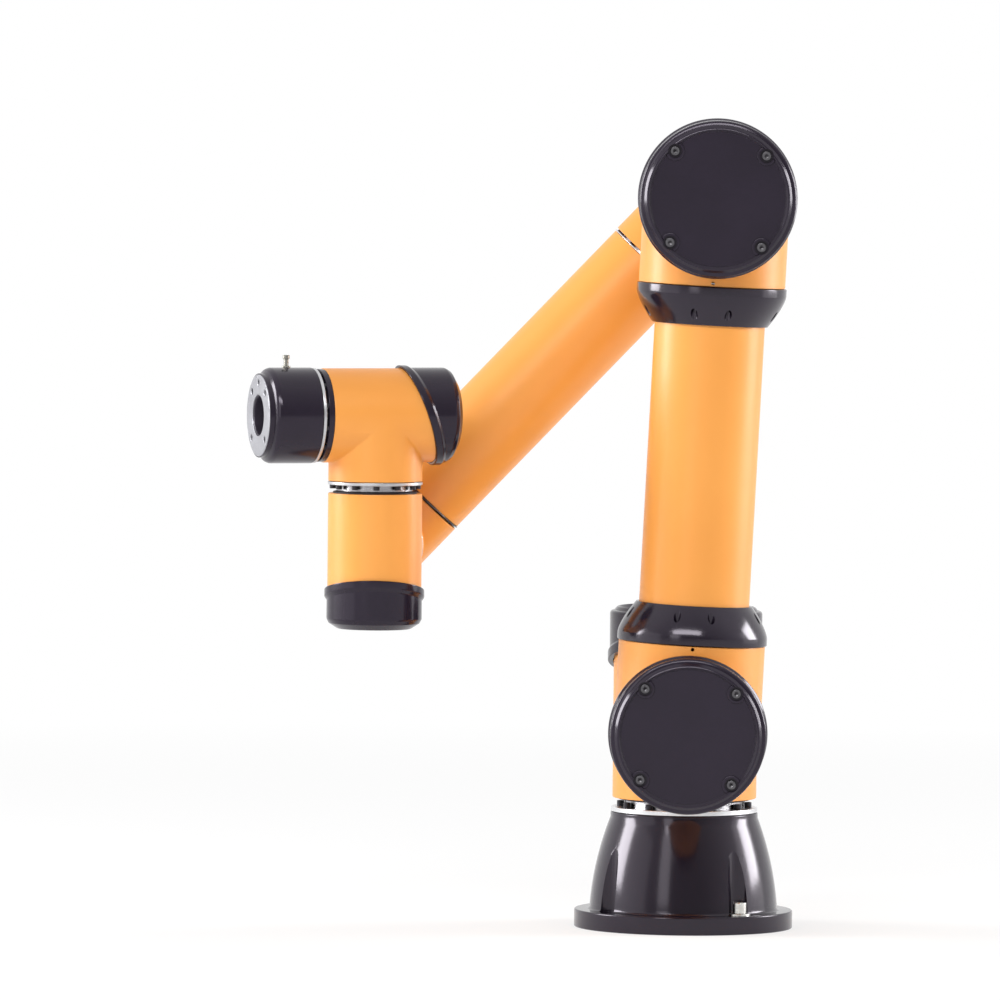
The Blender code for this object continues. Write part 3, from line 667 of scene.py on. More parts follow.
LARGE.update({
    "cap_edge": 0.0443, "lip_width": 0.0070, "lip_r": 0.0607, "cap_r": 0.0593, "cap_end": 0.0868,
    "face_r": 0.0535, "rim_r": 0.0509, "dish": 0.0022, "end_thick": 0.0058,
    "face": ((0.0593, 0.0034, 0.0020), (0.0559, 0.0027), (0.0542, 0.0007), (0.0537, 0.0002), (0.0530, 0.0),
             (0.0525, 0.0003), (0.0507, 0.0022)),
})
LARGE_SLOPE = 0.30
STUB = 0.0670
CAP_SCREWS = 4
CAP_SCREW_TURN = math.radians(45.0)
WELL_CIRCLE_R = 0.0490
WELL_R = 0.0054
WELL_FLOOR = LARGE["cap_end"] - 0.0055
BOSS_R = 0.0074
ARM_OFFSET = 0.1400

orange_enamel = sprayed_enamel("orange_enamel", (0.835, 0.338, 0.060), (0.815, 0.320, 0.054), 0.40,
                               {"Coat Weight": 0.05, "Coat Roughness": 0.16})
cap_black = black_moulding("cap_black", (0.0105, 0.0072, 0.0140), 0.17, 900.0)
DRIVE_1 = SHOULDER @ aim((0.0, 0.0, 0.0), (0.0, -1.0, 0.0), (0.0, 0.0, 1.0))
shoulder_tee = tee_casting("shoulder_casting", radius=0.0560, low=-LARGE["reach"], high=0.0499,
                           slope=LARGE_SLOPE, stub_length=STUB, wall=0.0058, fillet=0.0016)
arm_tee = twin(shoulder_tee, "j2_casting")
fit(shoulder_tee, DRIVE_1, orange_enamel, "shoulder", "orange_paint", "shoulder_housing")

large_cap = end_cap("shoulder_end_cap", LARGE, LARGE_SLOPE)
disc_level = LARGE["cap_end"] - LARGE["dish"]


def screw_boss():
    return turned("boss", [(BOSS_R, disc_level - 0.0020), (BOSS_R, disc_level + 0.0014, 0.0008)], 48,
                  solid=True)


bosses = joined(spread(screw_boss, CAP_SCREWS, WELL_CIRCLE_R, CAP_SCREW_TURN), "bosses")
cut(bosses, [rod(LARGE["rim_r"] + 0.0005, 0.05, 0.10, 96)], "INTERSECT")
cut(large_cap, [bosses], "UNION")
cut(large_cap, spread(lambda: rod(WELL_R, WELL_FLOOR, 0.10), CAP_SCREWS, WELL_CIRCLE_R, CAP_SCREW_TURN))


def cap_screw():
    return socket_screw("screw", head_r=0.0035, head_height=0.0040, socket_r=0.0020, shank_r=0.0018,
                        shank_length=0.0020)


cap_screws = joined(spread(cap_screw, CAP_SCREWS, WELL_CIRCLE_R, CAP_SCREW_TURN, WELL_FLOOR),
                    "shoulder_cap_screws")
dark_zinc = zinc_plate("dark_zinc", (0.150, 0.145, 0.155), 0.32)
arm_caps = [twin(large_cap, "j2_end_cap"), twin(large_cap, "j3_end_cap")]
arm_cap_screws = [twin(cap_screws, "j2_cap_screws"), twin(cap_screws, "j3_cap_screws")]
fit(large_cap, DRIVE_1, cap_black, "shoulder", "black_plastic", "shoulder_cap")
fit(cap_screws, DRIVE_1, dark_zinc, "shoulder", "steel")
arm_ring_way = SHOULDER @ aim((0.0, -ARM_OFFSET, 0.0), (0.0, 0.0, 1.0), (0.0, -1.0, 0.0))
fit_output(j2_output, arm_ring_way, bright_metal, seal_rubber, "shoulder", "j2_output_ring")


# Upper arm
# Two castings like the shoulder's, joined by a plain tube in the same enamel. A turned black collar at
# each end of the tube is bolted to the casting by eight screws down in channels.
ARM_LEAN = math.radians(2.60)
UPPER_ARM = SHOULDER @ Matrix.Translation((0.0, -ARM_OFFSET, 0.0)) @ Matrix.Rotation(ARM_LEAN, 4, "Y")
ARM_LENGTH = 0.4080
TUBE_R = 0.0422
TUBE_WALL = 0.0040
COLLAR_FOOT_R = 0.0573
COLLAR_TIP_R = 0.0443
COLLAR_LENGTH = 0.0300
COLLAR_STRAIGHT = 0.0060
COLLAR_STEPS = 16
COLLAR_BULGE = 1.4
CHANNEL_R = 0.0027
CHANNEL_CIRCLE_R = 0.0500
CHANNEL_FLOOR = 0.0100
CHANNEL_TURNS = (math.radians(-15.0), math.radians(15.0))
VENT_R = 0.0014
VENT_PLACE = 0.0646

vent = rod(VENT_R, 0.0500, 0.0700, 20)
vent.data.transform(Matrix.Translation((VENT_PLACE, 0.0, 0.0)))
cut(arm_tee, [vent])
DRIVE_2 = UPPER_ARM @ aim((0.0, 0.0, 0.0), (0.0, 0.0, 1.0), (0.0, -1.0, 0.0))
DRIVE_3 = UPPER_ARM @ aim((0.0, 0.0, ARM_LENGTH), (0.0, 0.0, -1.0), (0.0, -1.0, 0.0))
elbow_tee = twin(arm_tee, "j3_casting")
fit(arm_tee, DRIVE_2, orange_enamel, "upper_arm", "orange_paint", "j2_housing")
fit(elbow_tee, DRIVE_3, orange_enamel, "upper_arm", "orange_paint", "j3_housing")
for cap, screws, way, node in zip(arm_caps, arm_cap_screws, (DRIVE_2, DRIVE_3), ("j2_cap", "j3_cap")):
    fit(cap, way, cap_black, "upper_arm", "black_plastic", node)
    fit(screws, way, dark_zinc, "upper_arm", "steel")

collar_rings = [(COLLAR_FOOT_R, GAP, 0.0007)]
for step in range(COLLAR_STEPS + 1):
    share = step / COLLAR_STEPS
    height = COLLAR_STRAIGHT + (COLLAR_LENGTH - COLLAR_STRAIGHT) * share
    collar_rings.append((COLLAR_FOOT_R - (COLLAR_FOOT_R - COLLAR_TIP_R) * share ** COLLAR_BULGE, height))
collar_rings += [(TUBE_R + GAP, COLLAR_LENGTH), (TUBE_R + GAP, GAP)]
lower_collar = turned("lower_tube_collar", collar_rings)


def channel():
    return rod(CHANNEL_R, CHANNEL_FLOOR, 0.05, 32)


def collar_screw():
    return socket_screw("screw", head_r=0.0025, head_height=0.0030, socket_r=0.0013, shank_r=0.0012,
                        shank_length=0.0020)


channels = []
screw_heads = []
for turn in CHANNEL_TURNS:
    channels += spread(channel, 4, CHANNEL_CIRCLE_R, turn)
    screw_heads += spread(collar_screw, 4, CHANNEL_CIRCLE_R, turn, CHANNEL_FLOOR + HAIRLINE)
cut(lower_collar, channels)
lower_collar_screws = joined(screw_heads, "lower_collar_screws")
upper_collar = twin(lower_collar, "upper_tube_collar")
upper_collar_screws = twin(lower_collar_screws, "upper_collar_screws")
low_way = UPPER_ARM @ Matrix.Translation((0.0, 0.0, STUB))
high_way = UPPER_ARM @ aim((0.0, 0.0, ARM_LENGTH - STUB), (1.0, 0.0, 0.0), (0.0, 0.0, -1.0))
fit(lower_collar, low_way, black_enamel, "upper_arm", "black_paint", "lower_collar")
fit(upper_collar, high_way, black_enamel, "upper_arm", "black_paint", "upper_collar")
fit(lower_collar_screws, low_way, black_oxide, "upper_arm", "steel")
fit(upper_collar_screws, high_way, black_oxide, "upper_arm", "steel")

arm_tube_rings = [(TUBE_R, STUB + GAP), (TUBE_R, ARM_LENGTH - STUB - GAP)]
arm_tube_rings += [(TUBE_R - TUBE_WALL, height) for radius, height in reversed(arm_tube_rings)]
arm_tube = turned("upper_arm_pipe", arm_tube_rings)
fit(arm_tube, UPPER_ARM, orange_enamel, "upper_arm", "orange_paint", "upper_arm_tube")


# Forearm
# An elbow casting hangs on joint 3 behind the upper arm. A plain tube is bolted to it, and to the wrist
# casting at its other end, through two thin aluminium rings with screws all round.
ELBOW_STEP = 0.1210
ELBOW_BEND = math.radians(221.00)
FOREARM = (UPPER_ARM @ Matrix.Translation((0.0, ELBOW_STEP, ARM_LENGTH))
           @ Matrix.Rotation(ELBOW_BEND, 4, "Y"))
FOREARM_LENGTH = 0.3760
FORE_R = 0.0358
FORE_WALL = 0.0035
elbow_ring_way = FOREARM @ aim((0.0, -ELBOW_STEP, 0.0), (0.0, 0.0, 1.0), (0.0, -1.0, 0.0))
fit_output(j3_output, elbow_ring_way, bright_metal, seal_rubber, "forearm", "j3_output_ring")

FLARE_STEPS = 8


def flared_stub(radius, length, drum_r, flare, sides=96):
    """Stub along +X that flares out onto a drum along Z and sinks into it.

    The flare is less towards the drum's low end.
    """
    rows = [[] for step in range(FLARE_STEPS + 2)]
    for step in range(sides):
        angle = 2.0 * math.pi * step / sides
        across, along = math.sin(angle), math.cos(angle)
        spots = [(length, radius)]
        swell = flare * min(1.0, 1.2 + along)
        root = math.sqrt(drum_r ** 2 - (radius * across) ** 2)
        wide = radius + swell
        foot = math.sqrt(drum_r ** 2 - (wide * across) ** 2)
        for stop in range(FLARE_STEPS):
            t = stop / (FLARE_STEPS - 1)
            bend = (1.0 - t) ** 2, 2.0 * t * (1.0 - t), t ** 2
            spots.append((bend[0] * (root + swell) + bend[1] * root + bend[2] * foot,
                          bend[0] * radius + bend[1] * radius + bend[2] * wide))
        spots.append((0.6 * foot, wide))
        for row, (x, r) in zip(rows, spots):
            row.append((x, r * across, r * along))
    count = len(rows)
    faces = [list(range(sides)), list(reversed(range((count - 1) * sides, count * sides)))]
    for row in range(count - 1):
        for step in range(sides):
            after = (step + 1) % sides
            faces.append((row * sides + step, row * sides + after, (row + 1) * sides + after,
                          (row + 1) * sides + step))
    mesh = bpy.data.meshes.new("stub")
    mesh.from_pydata([spot for row in rows for spot in row], [], faces)
    stub = bpy.data.objects.new("stub", mesh)
    bpy.context.collection.objects.link(stub)
    alone(stub)
    bpy.ops.object.mode_set(mode="EDIT")
    bpy.ops.mesh.select_all(action="SELECT")
    bpy.ops.mesh.normals_make_consistent(inside=False)
    bpy.ops.object.mode_set(mode="OBJECT")
    return stub


ELBOW_R = 0.0562
ELBOW_BACK = -0.0380
ELBOW_FRONT = 0.0480
ELBOW_CHAMFER = 0.0070
ELBOW_FLOOR = ELBOW_BACK + ELBOW_CHAMFER
ELBOW_BORE_R = 0.0460
ELBOW_STUB = 0.0706
ELBOW_STUB_R = 0.0363
RECESS_R = 0.0400
RECESS_DEPTH = 0.0012
RECESS_SLOPE = 0.0014
FLANGE_BORE_R = 0.0290
elbow_casting = turned("elbow_casting", [
    (RECESS_R, ELBOW_BACK + RECESS_DEPTH), (RECESS_R + RECESS_SLOPE, ELBOW_BACK, 0.0004),
    (ELBOW_R - ELBOW_CHAMFER, ELBOW_BACK, 0.0016), (ELBOW_R, ELBOW_FLOOR, 0.0022),
    (ELBOW_R, ELBOW_FRONT, 0.0007),
], 192, solid=True)
cut(elbow_casting, [flared_stub(ELBOW_STUB_R, ELBOW_STUB, ELBOW_R, 0.0050)], "UNION")
stub_bore = rod(FLANGE_BORE_R, 0.0, 0.0900)
stub_bore.data.transform(aim((0.0, 0.0, 0.0), (0.0, 0.0, -1.0), (1.0, 0.0, 0.0)))
cut(elbow_casting, [rod(ELBOW_BORE_R, ELBOW_FLOOR, 0.0900, 96)])
cut(elbow_casting, [stub_bore])
elbow_way = FOREARM @ aim((0.0, 0.0, 0.0), (0.0, 0.0, 1.0), (0.0, -1.0, 0.0))
fit(elbow_casting, elbow_way, orange_enamel, "forearm", "orange_paint", "forearm_elbow_housing")

SMALL = {
    "r": 0.0359, "reach": 0.0429, "zone": 0.0093, "disc_r": 0.0364, "disc": 0.0025, "seal_r": 0.0324,
    "neck_r": 0.0292, "hub_r": 0.0288, "hub": 0.0110, "tooth_r": 0.0252, "hole_r": 0.0110, "sides": 112,
    "screw_r": 0.0024, "screw_height": 0.0032, "screw_circle": 0.0326,
    "cap_edge": 0.0312, "lip_width": 0.0055, "lip_r": 0.0384, "cap_r": 0.0366, "cap_end": 0.0613,
    "face_r": 0.0280, "dish": 0.0, "end_thick": 0.0030,
    "face": ((0.0366, 0.0076, 0.0008), (0.0349, 0.0044, 0.0004), (0.0280, 0.0, 0.0010)),
}
FLANGE_NECK_R = 0.0309
FLANGE_DISC = 0.0009
FLANGE_SCREWS = 12
FLANGE_CIRCLE_R = 0.0331
FLANGE_SCREW_TURN = 0.13


def flange_ring(name, zone):
    """Thin ring under a tube end: screw neck below, bright disc above."""
    high = zone - GAP
    shelf = high - FLANGE_DISC
    return turned(name, [
        (FLANGE_NECK_R, GAP), (FLANGE_NECK_R, shelf, 0.0002), (SMALL["disc_r"], shelf, 0.0003),
        (SMALL["disc_r"], high, 0.0003), (FLANGE_BORE_R, high), (FLANGE_BORE_R, GAP),
    ], SMALL["sides"])


def flange_screws(name, zone):
    """Screws whose heads hang from the disc of such a ring."""
    shelf = zone - GAP - FLANGE_DISC
    height = zone - FLANGE_DISC - 2.0 * GAP

    def one():
        screw = socket_screw("screw", head_r=0.0018, head_height=height, socket_r=0.0009, shank_r=0.0009,
                             shank_length=0.0008)
        screw.data.transform(Matrix.Rotation(math.pi, 4, "X"))
        return screw

    return joined(spread(one, FLANGE_SCREWS, FLANGE_CIRCLE_R, FLANGE_SCREW_TURN, shelf), name)


ELBOW_RING_ZONE = 0.0028
WRIST_RING_ZONE = 0.0024
FORE_TEE_STUB = 0.0499
WRIST_RING_TOP = FOREARM_LENGTH - FORE_TEE_STUB
# The wrist ring is the same turned ring as the elbow ring. Its near-black metal is painted shade, standing in
# for the shade that falls on it under the forearm.
blued_steel = turned_metal("blued_steel", (0.130, 0.115, 0.110), 0.24, 0.00025)
ring_places = (
    ("forearm_elbow_ring", ELBOW_RING_ZONE, bright_metal,
     FOREARM @ Matrix.Translation((0.0, 0.0, ELBOW_STUB))),
    ("forearm_wrist_ring", WRIST_RING_ZONE, blued_steel,
     FOREARM @ aim((0.0, 0.0, WRIST_RING_TOP), (1.0, 0.0, 0.0), (0.0, 0.0, -1.0))),
)
for node, zone, metal, way in ring_places:
    fit(flange_ring(node + "_turned", zone), way, metal, "forearm", "machined_aluminium", node)
    fit(flange_screws(node + "_screws", zone), way, black_oxide, "forearm", "steel")

fore_rings = [(FORE_R, ELBOW_STUB + ELBOW_RING_ZONE, 0.0004),
              (FORE_R, WRIST_RING_TOP - WRIST_RING_ZONE, 0.0004)]
fore_rings += [(FORE_R - FORE_WALL, ring[1]) for ring in reversed(fore_rings)]
fit(turned("forearm_pipe", fore_rings), FOREARM, orange_enamel, "forearm", "orange_paint", "forearm_tube")

SMALL_SLOPE = 0.352
SMALL_WELL_R = 0.0024
SMALL_WELL_CIRCLE_R = 0.0215
SMALL_WELL_FLOOR = SMALL["cap_end"] - 0.0018


def small_tee(name, slope, stub_length):
    return tee_casting(name, radius=0.0361, low=-SMALL["reach"], high=0.0353, slope=slope,
                       stub_length=stub_length, wall=0.0044, fillet=0.0012)


def small_cap(name, slope):
    """Small end cap with wells for four screws in its face."""
    cap = end_cap(name, SMALL, slope)
    cut(cap, spread(lambda: rod(SMALL_WELL_R, SMALL_WELL_FLOOR, 0.08, 24), CAP_SCREWS, SMALL_WELL_CIRCLE_R,
                    CAP_SCREW_TURN))
    return cap


def small_cap_screw():
    return socket_screw("screw", head_r=0.0021, head_height=0.0014, socket_r=0.0010, shank_r=0.0010,
                        shank_length=0.0008)


DRIVE_4 = FOREARM @ aim((0.0, 0.0, FOREARM_LENGTH), (0.0, 0.0, -1.0), (0.0, 1.0, 0.0))
fore_tee = small_tee("forearm_wrist_casting", SMALL_SLOPE, FORE_TEE_STUB)
fit(fore_tee, DRIVE_4, orange_enamel, "forearm", "orange_paint", "forearm_wrist_housing")
fore_cap = small_cap("forearm_end_cap", SMALL_SLOPE)
fore_cap_screws = joined(spread(small_cap_screw, CAP_SCREWS, SMALL_WELL_CIRCLE_R, CAP_SCREW_TURN,
                                SMALL_WELL_FLOOR), "forearm_cap_screws")
wrist_2_end_cap = twin(fore_cap, "wrist_2_end_cap")
wrist_screws = [twin(fore_cap_screws, "wrist_1_cap_screws"), twin(fore_cap_screws, "wrist_2_cap_screws")]
fit(fore_cap, DRIVE_4, cap_black, "forearm", "black_plastic", "forearm_wrist_cap")
fit(fore_cap_screws, DRIVE_4, dark_zinc, "forearm", "steel")


# Wrist 1
# A smaller T casting in the orange enamel, hanging on joint 4 with its drive upright and the black cap
# below. The ring of joint 4 is bolted to its stub.
WRIST_STEP = 0.1025
WRIST_BEND = math.radians(-223.60)
WRIST_1 = (FOREARM @ Matrix.Translation((0.0, -WRIST_STEP, FOREARM_LENGTH))
           @ Matrix.Rotation(WRIST_BEND, 4, "Y"))
WRIST_STUB = 0.0503
WRIST_1_SLOPE = 0.230
FLUSH_SEAL_R = 0.0356
FLUSH_SEAL_DEPTH = 0.0042
DRIVE_5 = WRIST_1 @ aim((0.0, 0.0, 0.0), (0.0, 1.0, 0.0), (0.0, 0.0, -1.0))
j4_output = joint_output("j4", SMALL, math.radians(15.0))
j5_output = same_output(j4_output, "j5")
j6_output = same_output(j4_output[:3], "j6") + [seal("j6_seal", SMALL, FLUSH_SEAL_R, FLUSH_SEAL_DEPTH)]
grey_metal = turned_metal("turned_steel", (0.600, 0.600, 0.620), 0.30, 0.00030)
j4_way = WRIST_1 @ aim((0.0, WRIST_STEP, 0.0), (0.0, 0.0, 1.0), (0.0, 1.0, 0.0))
fit_output(j4_output, j4_way, grey_metal, seal_rubber, "wrist_1", "j4_output_ring")
wrist_1_tee = small_tee("wrist_1_casting", WRIST_1_SLOPE, WRIST_STUB)
fit(wrist_1_tee, DRIVE_5, orange_enamel, "wrist_1", "orange_paint", "wrist_1_housing")
wrist_1_end_cap = small_cap("wrist_1_end_cap", WRIST_1_SLOPE)
fit(wrist_1_end_cap, DRIVE_5, cap_black, "wrist_1", "black_plastic", "wrist_1_cap")
fit(wrist_screws[0], DRIVE_5, dark_zinc, "wrist_1", "steel")


# Wrist 2
# The same casting with its drive lying level and its cap away from the tool. Its stub stands on the
# ring of joint 5.
WRIST_TURN = math.radians(17.7)
WRIST_2 = WRIST_1 @ Matrix.Translation((0.0, 0.0, WRIST_STEP)) @ Matrix.Rotation(WRIST_TURN, 4, "Z")
DRIVE_6 = WRIST_2 @ aim((0.0, 0.0, 0.0), (0.0, 0.0, -1.0), (1.0, 0.0, 0.0))
j5_way = WRIST_2 @ aim((0.0, 0.0, -WRIST_STEP), (0.0, 1.0, 0.0), (0.0, 0.0, -1.0))
fit_output(j5_output, j5_way, grey_metal, seal_rubber, "wrist_2", "j5_output_ring")
wrist_2_tee = small_tee("wrist_2_casting", SMALL_SLOPE, WRIST_STUB)
fit(wrist_2_tee, DRIVE_6, orange_enamel, "wrist_2", "orange_paint", "wrist_2_housing")
fit(wrist_2_end_cap, DRIVE_6, cap_black, "wrist_2", "black_plastic", "wrist_2_cap")
fit(wrist_screws[1], DRIVE_6, dark_zinc, "wrist_2", "steel")


# Tool flange
# A black moulded sleeve round a machined aluminium plate with a centring bore, four tapped holes and a
# dowel hole. A small plated connector stands on the sleeve.
SLEEVE_R = 0.03665
SLEEVE_BACK = -0.0522
SLEEVE_FLOOR = SLEEVE_BACK - 0.0090
SLEEVE_NECK_R = 0.0322
SLEEVE_INSIDE_R = 0.0317
TOOL_FACE = -0.0940
NECK_END = TOOL_FACE + 0.0006
PLATE_R = 0.0315
PLATE_BACK = SLEEVE_BACK - 0.0093
BORE_R = 0.0158
BORE_FLOOR = TOOL_FACE + 0.0140
BORE_SHADE_INSIDE_R = 0.0150
TAP_R = 0.0025
TAP_CIRCLE_R = 0.0250
fit_output(j6_output, DRIVE_6, grey_metal, cap_black, "tool_flange", "j6_output_ring")
wire_r = SMALL["hole_r"]
sleeve = turned("tool_sleeve", [
    (wire_r, SLEEVE_BACK), (wire_r, SLEEVE_FLOOR), (SLEEVE_INSIDE_R, SLEEVE_FLOOR),
    (SLEEVE_INSIDE_R, NECK_END), (SLEEVE_NECK_R, NECK_END, 0.0002), (SLEEVE_NECK_R, TOOL_FACE + 0.0042),
    (0.0354, TOOL_FACE + 0.0060, 0.0010), (SLEEVE_R, TOOL_FACE + 0.0088, 0.0010),
    (SLEEVE_R, SLEEVE_BACK, 0.0005),
], SMALL["sides"])
fit(sleeve, DRIVE_6, cap_black, "tool_flange", "black_plastic", "tool_flange_sleeve")

plate = turned("tool_plate", [
    (BORE_R, TOOL_FACE, 0.0006), (PLATE_R, TOOL_FACE, 0.0007), (PLATE_R, PLATE_BACK),
    (wire_r, PLATE_BACK), (wire_r, BORE_FLOOR), (BORE_R, BORE_FLOOR),
], SMALL["sides"])


def tapped_hole():
    return turned("hole", [(TAP_R, TOOL_FACE + 0.0100), (TAP_R, TOOL_FACE + 0.0006),
                           (TAP_R + 0.0008, TOOL_FACE - 0.0002)], 32, solid=True)


holes = spread(tapped_hole, 4, TAP_CIRCLE_R, math.radians(45.0))
cut(plate, holes + spread(tapped_hole, 1, TAP_CIRCLE_R, math.pi))
plate_metal = turned_metal("plate_aluminium", (0.40, 0.40, 0.43), 0.38, 0.00022)
fit(plate, DRIVE_6, plate_metal, "tool_flange", "machined_aluminium", "tool_flange_plate")

# Near-black sheet just inside the centring bore: painted shade, standing in for the shade that falls down in
# the bore.
bore_shade_r = BORE_R - HAIRLINE
bore_shade_back = BORE_FLOOR - HAIRLINE
bore_shade = turned("tool_bore_liner", [
    (bore_shade_r, TOOL_FACE + 0.0011), (bore_shade_r, bore_shade_back), (BORE_SHADE_INSIDE_R, bore_shade_back),
    (BORE_SHADE_INSIDE_R, TOOL_FACE + 0.0014, 0.0003),
], 96)
liner_black = black_moulding("liner_black", (0.030, 0.026, 0.036), 0.30, 900.0)
fit(bore_shade, DRIVE_6, liner_black, "tool_flange", "black_plastic")

CONNECTOR_PLACE = TOOL_FACE + 0.0220
connector_foot = SLEEVE_R + HAIRLINE
connector = turned("tool_signal_connector", [
    (0.0033, connector_foot), (0.0033, connector_foot + 0.0012, 0.0003), (0.0019, connector_foot + 0.0012),
    (0.0019, connector_foot + 0.0062), (0.0026, connector_foot + 0.0066, 0.0002),
    (0.0026, connector_foot + 0.0094, 0.0003), (0.0017, connector_foot + 0.0094),
    (0.0017, connector_foot + 0.0070),
], 40, solid=True)
dark_nickel = zinc_plate("dark_nickel", (0.30, 0.29, 0.26), 0.30)
connector_way = WRIST_2 @ aim((CONNECTOR_PLACE, 0.0, 0.0), (1.0, 0.0, 0.0), (0.0, 0.0, 1.0))
fit(connector, connector_way, dark_nickel, "tool_flange", "steel", "tool_connector")


# Drives inside the joints
# Each joint holds a wound stator, a steel rotor and flexspline, and a green board with the brake. They
# stay as the frame has them and take their real finishes.
def wound_copper(name):
    """Enamelled copper windings: strands side by side, darker between them."""
    finish, shader, place = new_finish(name, {"Metallic": 0.85})
    strand = place.noise(900.0, 2.0)
    strand.ramp(0.35, 0.6).blend((0.16, 0.05, 0.02, 1.0), (0.62, 0.25, 0.10, 1.0)).to(shader, "Base Color")
    (0.30 + 0.20 * strand).to(shader, "Roughness")
    strand.bump(0.0002, 0.6).to(shader, "Normal")
    return finish


def circuit_board(name):
    """Green solder mask with darker tracks under it."""
    finish, shader, place = new_finish(name, {})
    tracks = place.node("ShaderNodeTexVoronoi", {"distance": "MANHATTAN"}, {"Vector": place, "Scale": 260.0})
    mask = tracks.ramp(0.25, 0.45)
    mask.blend((0.012, 0.085, 0.035, 1.0), (0.030, 0.160, 0.070, 1.0)).to(shader, "Base Color")
    (0.35 + 0.15 * place.noise(80.0)).to(shader, "Roughness")
    mask.bump(0.00005, 0.5).to(shader, "Normal")
    return finish


inner_finishes = {
    "_stator": wound_copper("wound_copper"),
    "_drive_board": circuit_board("solder_mask"),
    "_rotor": zinc_plate("ground_steel", (0.50, 0.50, 0.52), 0.22),
    "_flexspline": zinc_plate("spring_steel", (0.42, 0.42, 0.44), 0.30),
}
for node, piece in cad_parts.items():
    for ending, finish in inner_finishes.items():
        if node.endswith(ending):
            piece.data.materials.clear()
            piece.data.materials.append(finish)


# Studio
# A wide white floor under soft light: a bright box in front of a wide dim bank at either side, and a long
# box and a strip in front, in a pale room that is dimmer behind the camera.
FLOOR_SIZE = 400.0
bpy.ops.object.select_all(action="DESELECT")
bpy.ops.mesh.primitive_plane_add(size=FLOOR_SIZE)
floor = bpy.context.object
floor.name = "studio_floor"
bpy.ops.object.mode_set(mode="EDIT")
bpy.ops.mesh.select_all(action="SELECT")
bpy.ops.mesh.subdivide(number_cuts=3)
bpy.ops.object.mode_set(mode="OBJECT")
floor_white = bpy.data.materials.new("floor_white")
floor_white.use_nodes = True
tree = floor_white.node_tree
matt = tree.nodes["Principled BSDF"]
matt.inputs["Base Color"].default_value = (0.88, 0.88, 0.88, 1.0)
matt.inputs["Roughness"].default_value = 0.9
spot = Tone(tree, tree.nodes.new("ShaderNodeTexCoord").outputs["Object"])
away = spot.node("ShaderNodeVectorMath", {"operation": "LENGTH"}, {0: spot}, 1)
rays = tree.nodes.new("ShaderNodeLightPath")
seen = spot.math("MAXIMUM", Tone(tree, rays.outputs["Is Camera Ray"]),
                 Tone(tree, rays.outputs["Is Glossy Ray"]))
seen = spot.math("MAXIMUM", seen, Tone(tree, rays.outputs["Is Transmission Ray"]))
white = (0.25 * away).ramp(0.10, 0.60, 0.62, 1.0)
glow = spot.node("ShaderNodeEmission", {}, {"Color": (1.0, 1.0, 1.0, 1.0), "Strength": 1.0})
shown = spot.node("ShaderNodeMixShader", {}, {0: seen * white, 1: Tone(tree, matt.outputs[0]), 2: glow})
tree.links.new(shown.socket, tree.nodes["Material Output"].inputs["Surface"])
floor.data.materials.append(floor_white)

room = bpy.data.worlds.new("studio_room")
bpy.context.scene.world = room
room.use_nodes = True
tree = room.node_tree
backdrop = tree.nodes["Background"]
backdrop.inputs["Color"].default_value = (1.0, 1.0, 1.0, 1.0)
way = Tone(tree, tree.nodes.new("ShaderNodeTexCoord").outputs["Generated"])
depth = way.node("ShaderNodeSeparateXYZ", {}, {0: way}, 1)
mirrored = (0.5 + 0.5 * depth).ramp(0.05, 0.40, 0.32, 1.0)
rays = tree.nodes.new("ShaderNodeLightPath")
seen = way.math("MAXIMUM", Tone(tree, rays.outputs["Is Camera Ray"]),
                Tone(tree, rays.outputs["Is Transmission Ray"]))
lit = Tone(tree, rays.outputs["Is Diffuse Ray"])
ROOM_LIGHT = 0.39
(mirrored + seen * (1.0 - mirrored) + lit * (ROOM_LIGHT - mirrored)).to(backdrop, "Strength")

bpy.context.scene.view_settings.view_transform = "Standard"


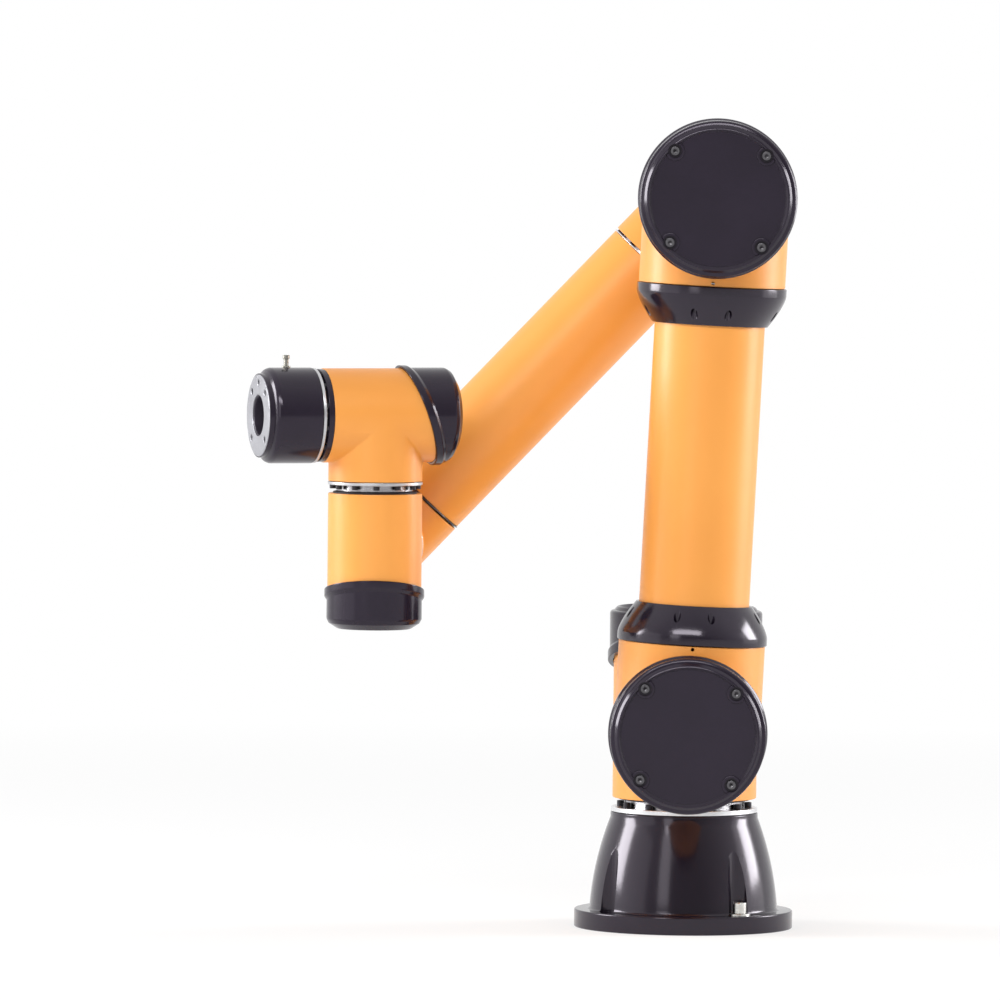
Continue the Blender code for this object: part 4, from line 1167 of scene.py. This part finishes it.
def soft_box(name, place, aim_at, width, depth, watts):
    lamp = bpy.data.lights.new(name, "AREA")
    lamp.shape = "RECTANGLE"
    lamp.size = width
    lamp.size_y = depth
    lamp.energy = watts
    box = bpy.data.objects.new(name, lamp)
    bpy.context.collection.objects.link(box)
    box.visible_camera = False
    box.location = place
    box.rotation_euler = (Vector(aim_at) - Vector(place)).to_track_quat("-Z", "Y").to_euler()


soft_box("left_bank", (-2.73, -0.48, 0.64), (0.0, 0.0, 0.30), 3.40, 2.00, 12.0)
soft_box("left_box", (-2.60, 0.24, 1.02), (0.0, 0.0, 0.10), 0.95, 1.30, 55.0)
soft_box("right_bank", (2.76, 0.49, 0.64), (0.0, 0.0, 0.30), 1.80, 2.00, 12.0)
soft_box("right_box", (2.53, 0.60, 1.00), (0.0, 0.0, 0.10), 0.90, 1.30, 55.0)
soft_box("front_box", (-0.40, -2.75, 2.35), (0.0, -0.1, 0.25), 2.40, 0.70, 56.0)
soft_box("front_strip", (-1.40, -2.90, 1.10), (0.0, 0.0, 0.10), 0.80, 1.60, 9.0)

CAMERA_PLACE = Vector((-0.0931711, -8.3192689, 0.7035365))
CAMERA_ANGLES = (-0.3625, -2.5619, 0.5579)
FOCAL_PIXELS = 10703.3639
PICTURE_PIXELS = 1000.0
SENSOR_WIDTH = 36.0
yaw, pitch, roll = (math.radians(value) for value in CAMERA_ANGLES)
ahead = Vector((math.sin(yaw) * math.cos(pitch), math.cos(yaw) * math.cos(pitch), math.sin(pitch)))
level_right = Vector((math.cos(yaw), -math.sin(yaw), 0.0))
level_up = level_right.cross(ahead)
right = math.cos(roll) * level_right + math.sin(roll) * level_up
up = math.cos(roll) * level_up - math.sin(roll) * level_right
lens = bpy.data.cameras.new("camera")
lens.sensor_width = SENSOR_WIDTH
lens.lens = FOCAL_PIXELS * SENSOR_WIDTH / PICTURE_PIXELS
lens.clip_end = 500.0
camera = bpy.data.objects.new("camera", lens)
bpy.context.collection.objects.link(camera)
turn = Matrix((right, up, -ahead)).transposed()
camera.matrix_world = Matrix.Translation(CAMERA_PLACE) @ turn.to_4x4()
bpy.context.scene.camera = camera
